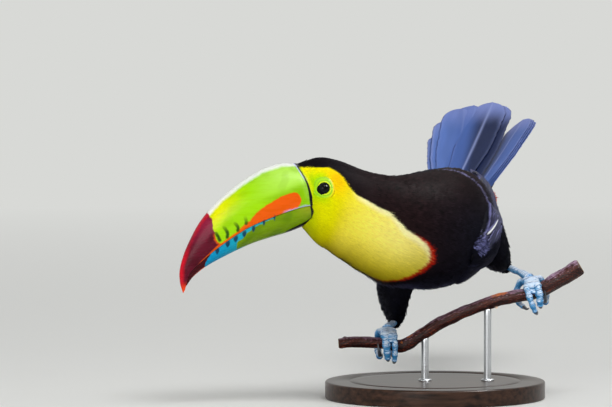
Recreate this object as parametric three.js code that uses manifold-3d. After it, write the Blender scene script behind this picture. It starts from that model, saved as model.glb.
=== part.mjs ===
// A keel-billed toucan at life size, leaning forward on a short cut branch that two rods hold over a
// round base. Millimetres, +Z up. The origin is the middle of the base's underside. The branch runs
// along X and rises towards +X, and the bird faces -Y with its head turned towards -X.
import * as THREE from "three";
import { LoftGeometry } from "three/addons/geometries/LoftGeometry.js";
import { mergeVertices } from "three/addons/utils/BufferGeometryUtils.js";
import Module from "manifold-3d";

const wasm = await Module();
wasm.setup();

// ---- driving dimensions ---------------------------------------------------------------------------

const GAP = 0.3; // clearance between solids that touch
const CUT = 0.02; // stations of the body left out where it is divided
const BASE_RADIUS = 88;
const BASE_HEIGHT = 14;
const BASE_CHAMFER = 1.5;
const ROD_RADIUS = 3;
const ROD_X = [-8, 42]; // where the two rods meet the branch

// The body from the bill's root to the tail's root, one row for each station along it.
// place: its middle. girth: reach upwards, downwards and sideways. aim: yaw of the way back, from +Y
// towards +X, and its pitch, in degrees. They turn the section.
const BODY = [
  { place: [-109, -81.5, 167.5], girth: [25, 24, 15], aim: [80, 4] },
  { place: [-93, -79, 167], girth: [31, 38, 22], aim: [79, 2] },
  { place: [-80, -77, 162], girth: [33.5, 40.5, 25], aim: [75, -4] },
  { place: [-65, -73.5, 154], girth: [34.5, 40, 28], aim: [68, -12] },
  { place: [-47, -66.5, 146], girth: [38, 43, 33], aim: [58, -16] },
  { place: [-28, -53, 140], girth: [43.5, 46, 39], aim: [46, -12] },
  { place: [-9, -30, 135], girth: [49, 46, 42], aim: [34, -4] },
  { place: [6, -5, 136], girth: [49, 45, 40], aim: [25, 4] },
  { place: [16, 25, 139], girth: [45, 40, 35], aim: [18, 8] },
  { place: [20, 52, 145], girth: [36, 33, 30], aim: [14, 11] },
  { place: [23, 78, 152], girth: [26, 25, 25], aim: [11, 14] },
  { place: [24, 98, 157], girth: [14, 17, 18], aim: [9, 16] },
];
const BODY_COLUMNS = 24;
const ROWS_PER_STATION = 2;
const NECK_FROM = 2.6; // the station where the head ends
const TRUNK_FROM = 5; // and where the neck does

// The bill in the head's own frame: forward from the gape's corner, and up. Each row is a section.
const GAPE = [-99.3, -80, 159.6];
const BILL_YAW = 80; // of the way back, as in BODY
const BILL_PITCH = 21;
const BILL_SECTIONS = 18;
const BILL_BOW = 1.5; // how far the upper half's root bows back at half its height
const UPPER_BILL = [
  { culmen: [-1.5, 35.6], tomium: [-2.5, 1], width: 17.5 },
  { culmen: [11, 40.2], tomium: [8, 3.7], width: 17.5 },
  { culmen: [27.6, 41.3], tomium: [21.6, 4.8], width: 16.8 },
  { culmen: [46.2, 37.8], tomium: [37.5, 4.9], width: 15.3 },
  { culmen: [65.8, 31.8], tomium: [53.2, 4.2], width: 13.3 },
  { culmen: [86.4, 21.4], tomium: [70, 0.9], width: 10.8 },
  { culmen: [104, 6.2], tomium: [86.6, -3.8], width: 8 },
  { culmen: [114.6, -7], tomium: [99, -8.6], width: 5.6 },
  { culmen: [118.6, -17], tomium: [109.6, -13.8], width: 3.4 },
  { culmen: [119.6, -26.5], tomium: [117.2, -24.5], width: 0.7 },
];
const LOWER_BILL = [
  { keel: [-1, -11.5], tomium: [-2.5, 1], width: 16.8 },
  { keel: [12, -12.3], tomium: [8, 3.7], width: 16.7 },
  { keel: [25, -12.2], tomium: [21.6, 4.8], width: 15.9 },
  { keel: [39, -10.9], tomium: [37.5, 4.9], width: 14.4 },
  { keel: [54, -10], tomium: [53.2, 4.2], width: 12.5 },
  { keel: [69, -10.6], tomium: [70, 0.9], width: 10 },
  { keel: [84.6, -12], tomium: [86.6, -3.8], width: 7.2 },
  { keel: [97.2, -14], tomium: [99, -8.6], width: 4.8 },
  { keel: [107.6, -17.4], tomium: [109.6, -13.8], width: 2.7 },
  { keel: [115, -22], tomium: [115.6, -20.6], width: 0.6 },
];

const EYE_RADIUS = 6.2;
const EYE_PLACE = { station: 0.98, angle: 16.5, sunk: 4.2 }; // on the body, degrees above its side

// The folded wing on the body's side: station, degrees above the side, half height, half thickness.
const WING = [
  { station: 6.3, angle: -24, height: 8, thick: 3 },
  { station: 6.8, angle: -18, height: 20, thick: 5.5 },
  { station: 7.6, angle: -6, height: 28, thick: 6.5 },
  { station: 8.6, angle: 6, height: 29, thick: 6.5 },
  { station: 9.6, angle: 20, height: 25, thick: 5.5 },
  { station: 10.8, angle: 36, height: 17, thick: 4 },
  { station: 11.9, angle: 55, height: 8, thick: 2 },
];
const WING_CURL = 0.012; // how far its edges bend in, per millimetre squared from its middle
const WING_REACH = 22; // length of one station past the body's end

// Tail feathers from the bird's right to its left: root, tip, half width, and roll in degrees.
const TAIL_FEATHERS = [
  { root: [8, 92, 150.4], tip: [9.6, 222, 205.4], width: 12, roll: -12 },
  { root: [9, 92, 151.8], tip: [17, 231, 213.4], width: 13.5, roll: -9 },
  { root: [10, 92, 153.2], tip: [25.4, 239, 219.5], width: 14.5, roll: -6 },
  { root: [12, 92, 154.6], tip: [36.3, 243, 220.6], width: 15, roll: -3 },
  { root: [14, 92, 157.4], tip: [51.7, 245, 224.2], width: 15, roll: 0 },
  { root: [22, 92, 155.6], tip: [56.3, 245, 221.7], width: 15, roll: 4 },
  { root: [34, 91, 154], tip: [77.5, 241, 209], width: 14.5, roll: 60 },
  { root: [36, 90, 152.8], tip: [80, 237, 210.5], width: 14, roll: 62 },
  { root: [38, 89, 151.6], tip: [82.4, 232, 211], width: 13, roll: 64 },
  { root: [40, 88, 150.4], tip: [84.4, 226, 208.5], width: 12, roll: 66 },
];
const FEATHER_THICKNESS = 1.5;

// The coverts round the feathers' roots. girth: half width and half height.
const TAIL_COVERTS = [
  { place: [23, 94, 156], girth: [17, 13] },
  { place: [26, 108, 161], girth: [19, 10.5] },
  { place: [31, 128, 169], girth: [18, 7] },
  { place: [36, 146, 176.5], girth: [15, 3.5] },
];

// Feathered legs, from inside the body to the heel.
const THIGHS = {
  right: [
    { place: [-22, -2, 118], radius: 20 },
    { place: [-31, -6, 97], radius: 16 },
    { place: [-33, 8, 82], radius: 12.5 },
    { place: [-32, 24, 69], radius: 9 },
    { place: [-31, 37, 58], radius: 5.6 },
  ],
  left: [
    { place: [32, 6, 138], radius: 21 },
    { place: [41, 3, 127], radius: 16 },
    { place: [46, 12, 117], radius: 13.5 },
    { place: [51, 25, 109], radius: 9.5 },
    { place: [56, 37, 103], radius: 5.4 },
  ],
};

// Bare legs, from the heel to the root of the toes.
const SHANKS = {
  right: [
    { place: [-31, 34, 59], radius: 2.7 },
    { place: [-33.5, 20, 58], radius: 2.4 },
    { place: [-37, 7, 57], radius: 2.9 },
    { place: [-38.5, -1, 55], radius: 4.4 },
  ],
  left: [
    { place: [57.5, 36, 103], radius: 2.7 },
    { place: [63.5, 22, 101], radius: 2.4 },
    { place: [71, 8, 98.5], radius: 2.9 },
    { place: [75.5, -1, 95.5], radius: 4.4 },
  ],
};

// Toes round the branch, the first and fourth behind it and the others in front. thick: radius at the
// root and at the tip. toe: its joints, from the root. claw: on from the toe's tip.
const DIGITS = {
  right: [
    {
      thick: [2.7, 1.9],
      toe: [[-36, 3, 53], [-33.2, 9, 51], [-32.5, 12, 43.5], [-33, 9.5, 36.5], [-33.6, 4, 33.6]],
      claw: [[-34, -0.5, 34], [-34.6, -4, 36.4]],
    },
    {
      thick: [2.6, 2],
      toe: [[-35.6, -4, 53.5], [-33, -9.6, 50.5], [-32.2, -11.6, 43], [-32.2, -11, 36], [-32.6, -9.2, 30.2]],
      claw: [[-33, -4.4, 28.8], [-33.6, 0.4, 30.6]],
    },
    {
      thick: [3.8, 2.5],
      toe: [[-39.4, -4, 54.6], [-39.4, -10, 51], [-39, -12.2, 43.4], [-38.4, -11.6, 37], [-37.8, -9.6, 32]],
      claw: [[-37.6, -4.8, 30.4], [-37.4, -0.2, 32]],
    },
    {
      thick: [3, 2.3],
      toe: [
        [-42, 1.5, 53.5], [-45, 8, 51.6], [-46, 12, 45],
        [-45.6, 9.6, 37.4], [-44.4, 3, 33.6], [-44, -5, 34.4],
      ],
      claw: [[-45, -9.4, 38.4], [-45.8, -9.2, 44.6]],
    },
  ],
  left: [
    {
      thick: [2.9, 1.9],
      toe: [[73, 2.5, 93.5], [68.5, 9, 92], [65.5, 12.6, 84.5], [67, 10.5, 76], [71, 4.5, 72.6]],
      claw: [[73.4, -0.5, 71.4], [75, -4.5, 72.6]],
    },
    {
      thick: [2.8, 2],
      toe: [[73.4, -4.5, 93], [73.2, -11.2, 89], [75, -12.8, 82], [77.6, -12.2, 75], [80, -10.2, 69.6]],
      claw: [[81.2, -5.4, 68], [82, -0.6, 69.6]],
    },
    {
      thick: [3.5, 2.4],
      toe: [[78, -4, 94], [81, -11.5, 90.6], [82.8, -13.2, 84.4], [83.4, -12.6, 79], [83.8, -10.8, 74.6]],
      claw: [[84.4, -6, 73], [85, -1.2, 74.4]],
    },
    {
      thick: [2.9, 2.1],
      toe: [[79, 2, 95], [84, 9, 94.5], [88, 12.4, 89], [89, 10.4, 81], [88.4, 3.6, 77], [88, -3.6, 77.4]],
      claw: [[88, -9, 80], [87.4, -10, 87]],
    },
  ],
};
const CLAW_ROOT = 1.7; // radius
const CLAW_TIP = 0.4;

const PERCH = [
  { place: [-77, 0, 44], radius: 4.6 },
  { place: [-60, 0, 45], radius: 4.8 },
  { place: [-38, 0, 43.4], radius: 4.7 },
  { place: [-26, 0, 42], radius: 5.6 },
  { place: [-12, 0, 50], radius: 5.2 },
  { place: [4, 0, 60], radius: 5.3 },
  { place: [28, 0, 71], radius: 5.2 },
  { place: [52, 0, 79], radius: 5.3 },
  { place: [77, 0, 84], radius: 5.6 },
  { place: [92, 0, 91], radius: 6.6 },
  { place: [116, 0, 105.5], radius: 6.8 },
];

// ---- shared shapes --------------------------------------------------------------------------------

const radians = THREE.MathUtils.degToRad;
const vector = (numbers) => new THREE.Vector3(...numbers);
const up = () => new THREE.Vector3(0, 0, 1);

// A smooth curve through rows of three numbers: places, or other values that change along a shape.
const smooth = (rows) => new THREE.CatmullRomCurve3(rows.map(vector), false, "catmullrom", 0.5);

// The values of a smooth curve at a position counted in its rows.
const along = (curve, row) => curve.getPoint(row / (curve.points.length - 1));

// A closed mesh's geometry as a solid, and a solid back as geometry.
function solidOf(geometry) {
  const bare = new THREE.BufferGeometry()
    .setAttribute("position", geometry.attributes.position)
    .setIndex(geometry.index);
  const merged = mergeVertices(bare, 1e-4);
  return new wasm.Manifold(
    new wasm.Mesh({
      numProp: 3,
      vertProperties: merged.attributes.position.array,
      triVerts: new Uint32Array(merged.index.array),
    }),
  );
}

function geometryOf(solid) {
  const mesh = solid.getMesh();
  const places = new Float32Array(mesh.numVert * 3);
  for (let i = 0; i < mesh.numVert; i++) {
    places.set(mesh.vertProperties.subarray(i * mesh.numProp, i * mesh.numProp + 3), i * 3);
  }
  return new THREE.BufferGeometry()
    .setAttribute("position", new THREE.BufferAttribute(places, 3))
    .setIndex(new THREE.BufferAttribute(mesh.triVerts, 1));
}

// A solid through closed sections, flat at both ends.
const loft = (sections) => solidOf(new LoftGeometry(sections, { capStart: true, capEnd: true }));

// The axes of a section whose way on has this yaw and pitch: on, to its left, and up.
function axesOf(yaw, pitch) {
  const on = new THREE.Vector3(
    Math.cos(radians(pitch)) * Math.sin(radians(yaw)),
    Math.cos(radians(pitch)) * Math.cos(radians(yaw)),
    Math.sin(radians(pitch)),
  );
  const left = new THREE.Vector3().crossVectors(on, up()).normalize();
  return { on, left, up: new THREE.Vector3().crossVectors(left, on) };
}

// A closed ring of points around a middle, from one axis towards the other, with a reach along each.
// It runs clockwise where first, second and the way on are a right-handed set.
function oval(middle, first, second, reach, sides) {
  const ring = [];
  for (let j = 0; j < sides; j++) {
    const angle = (-2 * Math.PI * j) / sides;
    ring.push(
      middle
        .clone()
        .addScaledVector(first, reach[0] * Math.cos(angle))
        .addScaledVector(second, reach[1] * Math.sin(angle)),
    );
  }
  return ring;
}

// A section drawn in towards its middle and moved on, for a rounded end.
function shrunk(section, share, shift) {
  const middle = new THREE.Vector3();
  section.forEach((p) => middle.addScaledVector(p, 1 / section.length));
  return section.map((p) => p.clone().lerp(middle, 1 - share).add(shift));
}

// A round tube through rows of place and radius. Its ends are flat, or drawn in where blunt is set.
function tube(rows, sides, { grow = 0, perRow = 2, blunt = false } = {}) {
  const path = smooth(rows.map((r) => r.place));
  const radii = smooth(rows.map((r) => [r.radius + grow, 0, 0]));
  const steps = (rows.length - 1) * perRow;
  const side = Math.abs(path.getTangent(0).z) > 0.9 ? new THREE.Vector3(1, 0, 0) : up();
  const sections = [];
  for (let i = 0; i <= steps; i++) {
    const on = path.getTangent(i / steps);
    side.addScaledVector(on, -side.dot(on)).normalize();
    const across = new THREE.Vector3().crossVectors(side, on);
    const radius = radii.getPoint(i / steps).x;
    sections.push(oval(path.getPoint(i / steps), side, across, [radius, radius], sides));
  }
  if (blunt) {
    const draw = (section, t, way) =>
      shrunk(section, 0.55, path.getTangent(t).multiplyScalar(0.45 * way * radii.getPoint(t).x));
    sections.unshift(draw(sections[0], 0, -1));
    sections.push(draw(sections.at(-1), 1, 1));
  }
  return loft(sections);
}

// ---- the body -------------------------------------------------------------------------------------

const bodyPlaces = smooth(BODY.map((b) => b.place));
const bodyGirths = smooth(BODY.map((b) => b.girth));
const bodyAims = smooth(BODY.map((b) => [...b.aim, 0]));
const LAST_STATION = BODY.length - 1;

function bodyAxes(station) {
  const aim = along(bodyAims, Math.min(station, LAST_STATION));
  return axesOf(aim.x, aim.y);
}

// The point of the body's surface at a station and an angle above its left side, grown outwards.
function bodyPoint(station, angle, grow = 0) {
  const inside = Math.min(station, LAST_STATION);
  const girth = along(bodyGirths, inside);
  const axes = bodyAxes(inside);
  const rise = Math.sin(radians(angle));
  const height = rise > 0 ? girth.x : girth.y;
  return along(bodyPlaces, inside)
    .addScaledVector(axes.left, (girth.z + grow) * Math.cos(radians(angle)))
    .addScaledVector(axes.up, (height + grow) * rise);
}

function bodySolid(from, to, grow = 0) {
  const steps = Math.round((to - from) * ROWS_PER_STATION);
  const sections = [];
  for (let i = 0; i <= steps; i++) {
    const station = from + ((to - from) * i) / steps;
    const ring = [];
    for (let j = 0; j < BODY_COLUMNS; j++) {
      ring.push(bodyPoint(station, (-360 * j) / BODY_COLUMNS, grow));
    }
    sections.push(ring);
  }
  if (to === LAST_STATION) {
    sections.push(shrunk(sections.at(-1), 0.6, bodyAxes(to).on.multiplyScalar(6 + grow)));
  }
  return loft(sections);
}

// ---- the head's own pieces ------------------------------------------------------------------------

const headAxes = axesOf(BILL_YAW, BILL_PITCH);

// A point of the bill: forward from the gape, up, and to the bird's left.
function billPoint(forward, rise, left) {
  return vector(GAPE)
    .addScaledVector(headAxes.on, -forward)
    .addScaledVector(headAxes.up, rise)
    .addScaledVector(headAxes.left, left);
}

// Half of the bill, arched from the tomium to its ridge, which is the culmen or the keel.
function billSolid(rows, ridgeName, grow = 0) {
  const edges = smooth(rows.map((r) => [...r.tomium, r.width]));
  const ridges = smooth(rows.map((r) => [...r[ridgeName], 0]));
  const way = ridgeName === "culmen" ? 1 : -1;
  const arc = 10;
  const floor = 4;
  const sections = [];
  for (let i = 0; i <= BILL_SECTIONS; i++) {
    const t = i / BILL_SECTIONS;
    const edge = edges.getPoint(t);
    const ridge = ridges.getPoint(t);
    const bow = way > 0 ? BILL_BOW * (1 - t) ** 6 : 0;
    edge.y += way * (GAP / 2 - grow);
    ridge.y += way * grow;
    edge.z += grow;
    const ring = [];
    for (let j = 0; j <= arc; j++) {
      const turn = (Math.PI * j) / arc;
      const rise = Math.sin(turn) ** 0.9;
      const spread = Math.sign(Math.cos(turn)) * Math.abs(Math.cos(turn)) ** 0.85;
      const swell = 1 + 0.07 * Math.sin(Math.PI * rise);
      const forward = edge.x + (ridge.x - edge.x) * rise - bow * Math.sin(Math.PI * rise);
      ring.push(billPoint(forward, edge.y + (ridge.y - edge.y) * rise, edge.z * spread * swell));
    }
    for (let j = 1; j < floor; j++) {
      const across = (2 * j) / floor - 1;
      const hollow = way * (GAP / 2) * (1 - across * across);
      ring.push(billPoint(edge.x, edge.y + hollow, edge.z * across));
    }
    sections.push(way > 0 ? ring : ring.reverse());
  }
  if (grow > 0) {
    sections.unshift(sections[0].map((p) => p.clone().addScaledVector(headAxes.on, 2 * grow)));
  }
  return loft(sections);
}

// An eyeball. side is 1 for the bird's left and -1 for its right, here and for the wings.
function eyeSolid(side, grow = 0) {
  const angle = side > 0 ? EYE_PLACE.angle : 180 - EYE_PLACE.angle;
  const middle = bodyPoint(EYE_PLACE.station, angle, -EYE_PLACE.sunk);
  const ball = new THREE.SphereGeometry(EYE_RADIUS + grow, 12, 8);
  return solidOf(ball.translate(middle.x, middle.y, middle.z));
}

// ---- wings and tail -------------------------------------------------------------------------------

// A folded wing as a lens on the body's side, which the body is cut from afterwards.
function wingSolid(side, grow = 0) {
  const lines = smooth(WING.map((w) => [w.station, w.angle, 0]));
  const sizes = smooth(WING.map((w) => [w.height + grow, w.thick + grow, 0]));
  const steps = (WING.length - 1) * 2;
  const sides = 14;
  const rows = [];
  for (let i = 0; i <= steps; i++) {
    const { x: station, y: above } = lines.getPoint(i / steps);
    const angle = side > 0 ? above : 180 - above;
    const axes = bodyAxes(station);
    const beyond = Math.max(0, station - LAST_STATION) * WING_REACH;
    rows.push({ angle, axes, place: bodyPoint(station, angle).addScaledVector(axes.on, beyond) });
  }
  const path = new THREE.CatmullRomCurve3(rows.map((r) => r.place), false, "catmullrom", 0.5);
  const sections = rows.map(({ angle, axes, place }, i) => {
    const on = path.getTangent(i / steps);
    const size = sizes.getPoint(i / steps);
    const out = axes.left.clone().multiplyScalar(Math.cos(radians(angle)));
    out.addScaledVector(axes.up, 0.8 * Math.sin(radians(angle)));
    out.addScaledVector(on, -out.dot(on)).normalize();
    const rise = new THREE.Vector3().crossVectors(out, on);
    return oval(place, out, rise, [size.y, size.x], sides).map((p) => {
      const height = p.clone().sub(place).dot(rise);
      return p.addScaledVector(out, -WING_CURL * height ** 2);
    });
  });
  return loft(sections);
}

// One tail feather: a thin blade that widens from its root to a rounded tip.
function tailFeather({ root, tip, width, roll }) {
  const from = vector(root);
  const to = vector(tip);
  const on = to.clone().sub(from).normalize();
  const side = new THREE.Vector3().crossVectors(on, up()).normalize().applyAxisAngle(on, radians(-roll));
  const face = new THREE.Vector3().crossVectors(side, on);
  const sections = [0, 0.3, 0.6, 0.84, 0.95, 1].map((share) => {
    const opening = 0.35 + 0.65 * Math.min(1, share / 0.5) ** 0.8;
    const rounding = Math.sqrt(Math.max(0.02, 1 - Math.max(0, (share - 0.82) / 0.18) ** 2));
    const half = width * opening * rounding;
    const thick = (FEATHER_THICKNESS * (1 - 0.4 * share)) / 2;
    const ring = oval(from.clone().lerp(to, share), side, face, [half, thick], 4);
    ring[0].addScaledVector(face, -0.1 * half); // both edges droop below the shaft
    ring[2].addScaledVector(face, -0.1 * half);
    return ring;
  });
  return loft(sections);
}

function tailCoverts() {
  const path = smooth(TAIL_COVERTS.map((c) => c.place));
  const girths = smooth(TAIL_COVERTS.map((c) => [...c.girth, 0]));
  const steps = 5;
  const sections = [];
  for (let i = 0; i <= steps; i++) {
    const on = path.getTangent(i / steps);
    const side = new THREE.Vector3().crossVectors(on, up()).normalize();
    const face = new THREE.Vector3().crossVectors(side, on);
    const girth = girths.getPoint(i / steps);
    sections.push(oval(path.getPoint(i / steps), side, face, [girth.x, girth.y], 12));
  }
  return loft(sections);
}

// ---- build ----------------------------------------------------------------------------------------

const finishes = {
  black: { color: 0x14121a, roughness: 0.6, metalness: 0 },
  yellow: { color: 0xf0d820, roughness: 0.7, metalness: 0 },
  bill: { color: 0x9fd020, roughness: 0.3, metalness: 0 },
  eye: { color: 0x0c1208, roughness: 0.1, metalness: 0 },
  foot: { color: 0x7fb8dc, roughness: 0.5, metalness: 0 },
  claw: { color: 0x3a4048, roughness: 0.4, metalness: 0 },
  bark: { color: 0x4a2a24, roughness: 0.6, metalness: 0 },
  stand: { color: 0x2e2622, roughness: 0.4, metalness: 0 },
  steel: { color: 0xb8bcc0, roughness: 0.3, metalness: 1 },
};
const toucan = new THREE.Group();

// Puts a solid in as a node, without the offcuts that a cut can leave.
function add(name, finish, solid) {
  const pieces = solid.simplify(0.02).decompose();
  const whole = pieces.sort((a, b) => b.volume() - a.volume())[0];
  const mesh = new THREE.Mesh(geometryOf(whole), new THREE.MeshStandardMaterial(finishes[finish]));
  mesh.name = name;
  toucan.add(mesh);
}

const eyesGrown = eyeSolid(1, GAP).add(eyeSolid(-1, GAP));
const upperBillGrown = billSolid(UPPER_BILL, "culmen", GAP);
const billGrown = billSolid(LOWER_BILL, "keel", GAP).add(upperBillGrown);
add("head", "yellow", bodySolid(0, NECK_FROM).subtract(billGrown).subtract(eyesGrown));
add("neck", "yellow", bodySolid(NECK_FROM + CUT, TRUNK_FROM));
add("trunk", "black", bodySolid(TRUNK_FROM + CUT, LAST_STATION));
add("bill_upper", "bill", billSolid(UPPER_BILL, "culmen").subtract(eyesGrown));
add("bill_lower", "bill", billSolid(LOWER_BILL, "keel").subtract(upperBillGrown));
add("eye_left", "eye", eyeSolid(1));
add("eye_right", "eye", eyeSolid(-1));

const bodyGrown = bodySolid(0, LAST_STATION, GAP);
const wingsGrown = wingSolid(1, GAP).add(wingSolid(-1, GAP));
add("wing_left", "black", wingSolid(1).subtract(bodyGrown));
add("wing_right", "black", wingSolid(-1).subtract(bodyGrown));
const tail = TAIL_FEATHERS.map(tailFeather).reduce((a, b) => a.add(b), tailCoverts());
add("tail", "black", tail.subtract(bodyGrown).subtract(wingsGrown));

const perchSides = 10;
const perchGrown = tube(PERCH, perchSides, { grow: GAP });
add("perch", "bark", tube(PERCH, perchSides));

// Each leg from the feathered part to the claws. Every piece is cut clear of those before it.
for (const side of ["right", "left"]) {
  const thigh = tube(THIGHS[side], 12, { blunt: true });
  add(`thigh_${side}`, "black", thigh.subtract(bodyGrown).subtract(wingsGrown));
  let taken = perchGrown.add(tube(THIGHS[side], 12, { blunt: true, grow: GAP }));
  add(`shank_${side}`, "foot", tube(SHANKS[side], 8, { blunt: true }).subtract(taken));
  taken = taken.add(tube(SHANKS[side], 8, { blunt: true, grow: GAP }));
  DIGITS[side].forEach(({ thick, toe }, i) => {
    const taper = (thick[1] - thick[0]) / (toe.length - 1);
    const rows = toe.map((place, k) => ({ place, radius: thick[0] + taper * k }));
    add(`toe_${side}_${i + 1}`, "foot", tube(rows, 8, { blunt: true, perRow: 1 }).subtract(taken));
    taken = taken.add(tube(rows, 8, { blunt: true, perRow: 1, grow: GAP }));
  });
  DIGITS[side].forEach(({ toe, claw }, i) => {
    const places = [toe.at(-1), ...claw];
    const taper = (CLAW_TIP - CLAW_ROOT) / (places.length - 1);
    const rows = places.map((place, k) => ({ place, radius: CLAW_ROOT + taper * k }));
    add(`claw_${side}_${i + 1}`, "claw", tube(rows, 6, { perRow: 1 }).subtract(taken));
    taken = taken.add(tube(rows, 6, { perRow: 1, grow: GAP }));
  });
}

// ---- the stand ------------------------------------------------------------------------------------

const baseProfile = [
  [0, 0],
  [BASE_RADIUS - BASE_CHAMFER, 0],
  [BASE_RADIUS, BASE_CHAMFER],
  [BASE_RADIUS, BASE_HEIGHT - BASE_CHAMFER],
  [BASE_RADIUS - BASE_CHAMFER, BASE_HEIGHT],
  [0, BASE_HEIGHT],
].map(([x, y]) => new THREE.Vector2(x, y));
add("stand_base", "stand", solidOf(new THREE.LatheGeometry(baseProfile, 40).rotateX(Math.PI / 2)));

// The height of the branch's middle above a point of its length.
function perchHeight(x) {
  return smooth(PERCH.map((p) => p.place))
    .getPoints(200)
    .find((p) => p.x >= x).z;
}

ROD_X.forEach((x, i) => {
  const foot = BASE_HEIGHT + GAP;
  const height = perchHeight(x) - foot;
  const rod = new THREE.CylinderGeometry(ROD_RADIUS, ROD_RADIUS, height, 16).rotateX(Math.PI / 2);
  rod.translate(x, 0, foot + height / 2);
  add(`stand_rod_${i + 1}`, "steel", solidOf(rod).subtract(perchGrown));
});

export default toucan;
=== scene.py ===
import bpy
import numpy as np
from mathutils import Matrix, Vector

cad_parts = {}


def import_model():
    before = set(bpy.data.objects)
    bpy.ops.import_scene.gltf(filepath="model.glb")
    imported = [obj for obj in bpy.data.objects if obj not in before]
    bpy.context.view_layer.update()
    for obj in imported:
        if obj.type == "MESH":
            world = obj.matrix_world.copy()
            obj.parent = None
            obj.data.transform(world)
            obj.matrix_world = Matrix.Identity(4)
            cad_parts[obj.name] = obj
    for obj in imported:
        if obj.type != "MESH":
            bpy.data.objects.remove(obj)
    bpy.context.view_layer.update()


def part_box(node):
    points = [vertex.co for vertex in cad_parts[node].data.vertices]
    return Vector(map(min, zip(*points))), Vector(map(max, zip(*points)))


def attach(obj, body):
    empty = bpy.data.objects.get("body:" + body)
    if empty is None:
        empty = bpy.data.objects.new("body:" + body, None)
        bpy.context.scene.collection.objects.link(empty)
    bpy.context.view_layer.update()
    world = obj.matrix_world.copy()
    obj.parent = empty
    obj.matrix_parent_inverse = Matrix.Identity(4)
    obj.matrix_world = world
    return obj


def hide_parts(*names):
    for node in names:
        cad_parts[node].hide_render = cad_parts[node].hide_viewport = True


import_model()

millimetre = 0.001
chance = np.random.default_rng(11)
sides = {"left": 1, "right": -1}
deepInside = -1000  # a height below any surface's middle line, where the surfaces stop
patchSize = 0.003  # of one feather's place on the map that its colours are baked to
evenSteps = (0.7548776662, 0.5698402910)  # 1 over the plastic number, and its square: they never line up


# Shared numbers and curves

def unit(vectors):  # each vector over its own length
    return vectors / np.linalg.norm(vectors, axis=-1, keepdims=True)


def ease(low, high, x):  # 0 below low, 1 above high, and a smooth S between
    t = np.clip((x - low) / (high - low), 0, 1)
    return t * t * (3 - 2 * t)


def mix(a, b, share):  # a where share is 0 and b where it is 1
    return a * (1 - share) + b * share


def blend(a, b, share):  # the same for colours, with one share for each colour
    share = np.asarray(share, float)[..., None]
    return np.asarray(a) * (1 - share) + np.asarray(b) * share


def tent(x, middle, half):  # 1 at the middle, falling smoothly to 0 at half away from it
    return 1 - ease(0, half, np.abs(x - middle))


def linear(hexColour):
    # sRGB hex to linear light, by the standard's own curve.
    parts = np.array([int(hexColour[i:i + 2], 16) for i in (1, 3, 5)]) / 255
    return np.where(parts <= 0.04045, parts / 12.92, ((parts + 0.055) / 1.055) ** 2.4)


def rgba(hexColour):  # the same for a socket, which also takes the opacity
    return (*linear(hexColour), 1.0)


def palette(**hexColours):  # named hex colours in linear light
    return {name: linear(colour) for name, colour in hexColours.items()}


def layered(tones, base, *layers):
    # A base and the layers over it, each a colour and its share. A name stands for the palette's colour.
    colour = tones[base] if isinstance(base, str) else base
    for tone, share in layers:
        colour = blend(colour, tones[tone] if isinstance(tone, str) else tone, share)
    return colour


def arrays(*values):  # every value as floats, in one common shape
    return np.broadcast_arrays(*(np.asarray(x, float) for x in values))


def lineAt(rows, x):  # the height at x of a broken line whose rows start with x and height
    return np.interp(x, *zip(*(row[:2] for row in rows)))


def curveAt(rows, t):
    # A smooth curve through rows: between two of them a cubic whose slope at each is half the step from
    # the row before it to the row after it. t counts rows.
    rows = np.asarray(rows, float)
    if rows.ndim == 1:
        rows = rows[:, None]
    t = np.asarray(t, float)
    padded = np.vstack([2 * rows[0] - rows[1], rows, 2 * rows[-1] - rows[-2]])
    k = np.clip(np.floor(t).astype(int), 0, len(rows) - 2)
    f = (t - k)[..., None]
    a, b, c, d = (padded[k + i] for i in range(4))
    return b + f * (c - a) / 2 + f**2 * (a - 2.5 * b + 2 * c - d / 2) + f**3 * ((d - a) / 2 + 1.5 * (b - c))


def axesOf(yaw, pitch):
    # The way on, its left and its up, for a yaw from +Y towards +X and a pitch above the level.
    yaw, pitch = np.radians(yaw), np.radians(pitch)
    on = np.stack([np.cos(pitch) * np.sin(yaw), np.cos(pitch) * np.cos(yaw), np.sin(pitch)], -1)
    left = unit(np.cross(on, [0, 0, 1.0]))
    return on, left, np.cross(left, on)


def wobble(points, size, seed):
    # Smooth noise from about -1 to 1: the sum of sine waves about size mm long in twelve directions.
    waves = np.random.default_rng(seed)
    ways = unit(waves.normal(size=(12, 3))) * waves.uniform(0.6, 1.6, (12, 1)) * 2 * np.pi / size
    return np.sin(points @ ways.T + waves.uniform(0, 7, 12)).sum(-1) * 0.2


def lengthAlong(point, u, v, step, which):
    # Millimetres for each unit of u or v on a surface: the step between two near points over its size.
    if which == "u":
        return np.linalg.norm(point(u + step, v, 0) - point(u - step, v, 0), axis=-1) / (2 * step)
    return np.linalg.norm(point(u, v + step, 0) - point(u, v - step, 0), axis=-1) / (2 * step)


# Meshes

def gridFaces(rows, columns, around=False):
    # Quads of a grid of points laid row by row, joined round its columns where around is set.
    i, j = np.meshgrid(np.arange(rows - 1), np.arange(columns if around else columns - 1), indexing="ij")
    k = (j + 1) % columns
    quads = np.stack([i * columns + j, (i + 1) * columns + j, (i + 1) * columns + k, i * columns + k], -1)
    return quads.reshape(-1, 4)


def turnedOut(points, faces, middle=None):
    # The same faces, all reversed if the cones from the middle to each of them add up to less than nothing.
    flat = points.reshape(-1, 3)
    flat = flat - (flat.mean(0) if middle is None else middle)
    corners = flat[np.concatenate([f[:, :3] for f in faces])]
    volume = (np.cross(corners[:, 1], corners[:, 2]) * corners[:, 0]).sum()
    for f in faces:
        if f.shape[1] == 4:
            volume += (np.cross(flat[f[:, 2]], flat[f[:, 3]]) * flat[f[:, 0]]).sum()
    return faces if volume > 0 else [f[:, ::-1] for f in faces]


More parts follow.
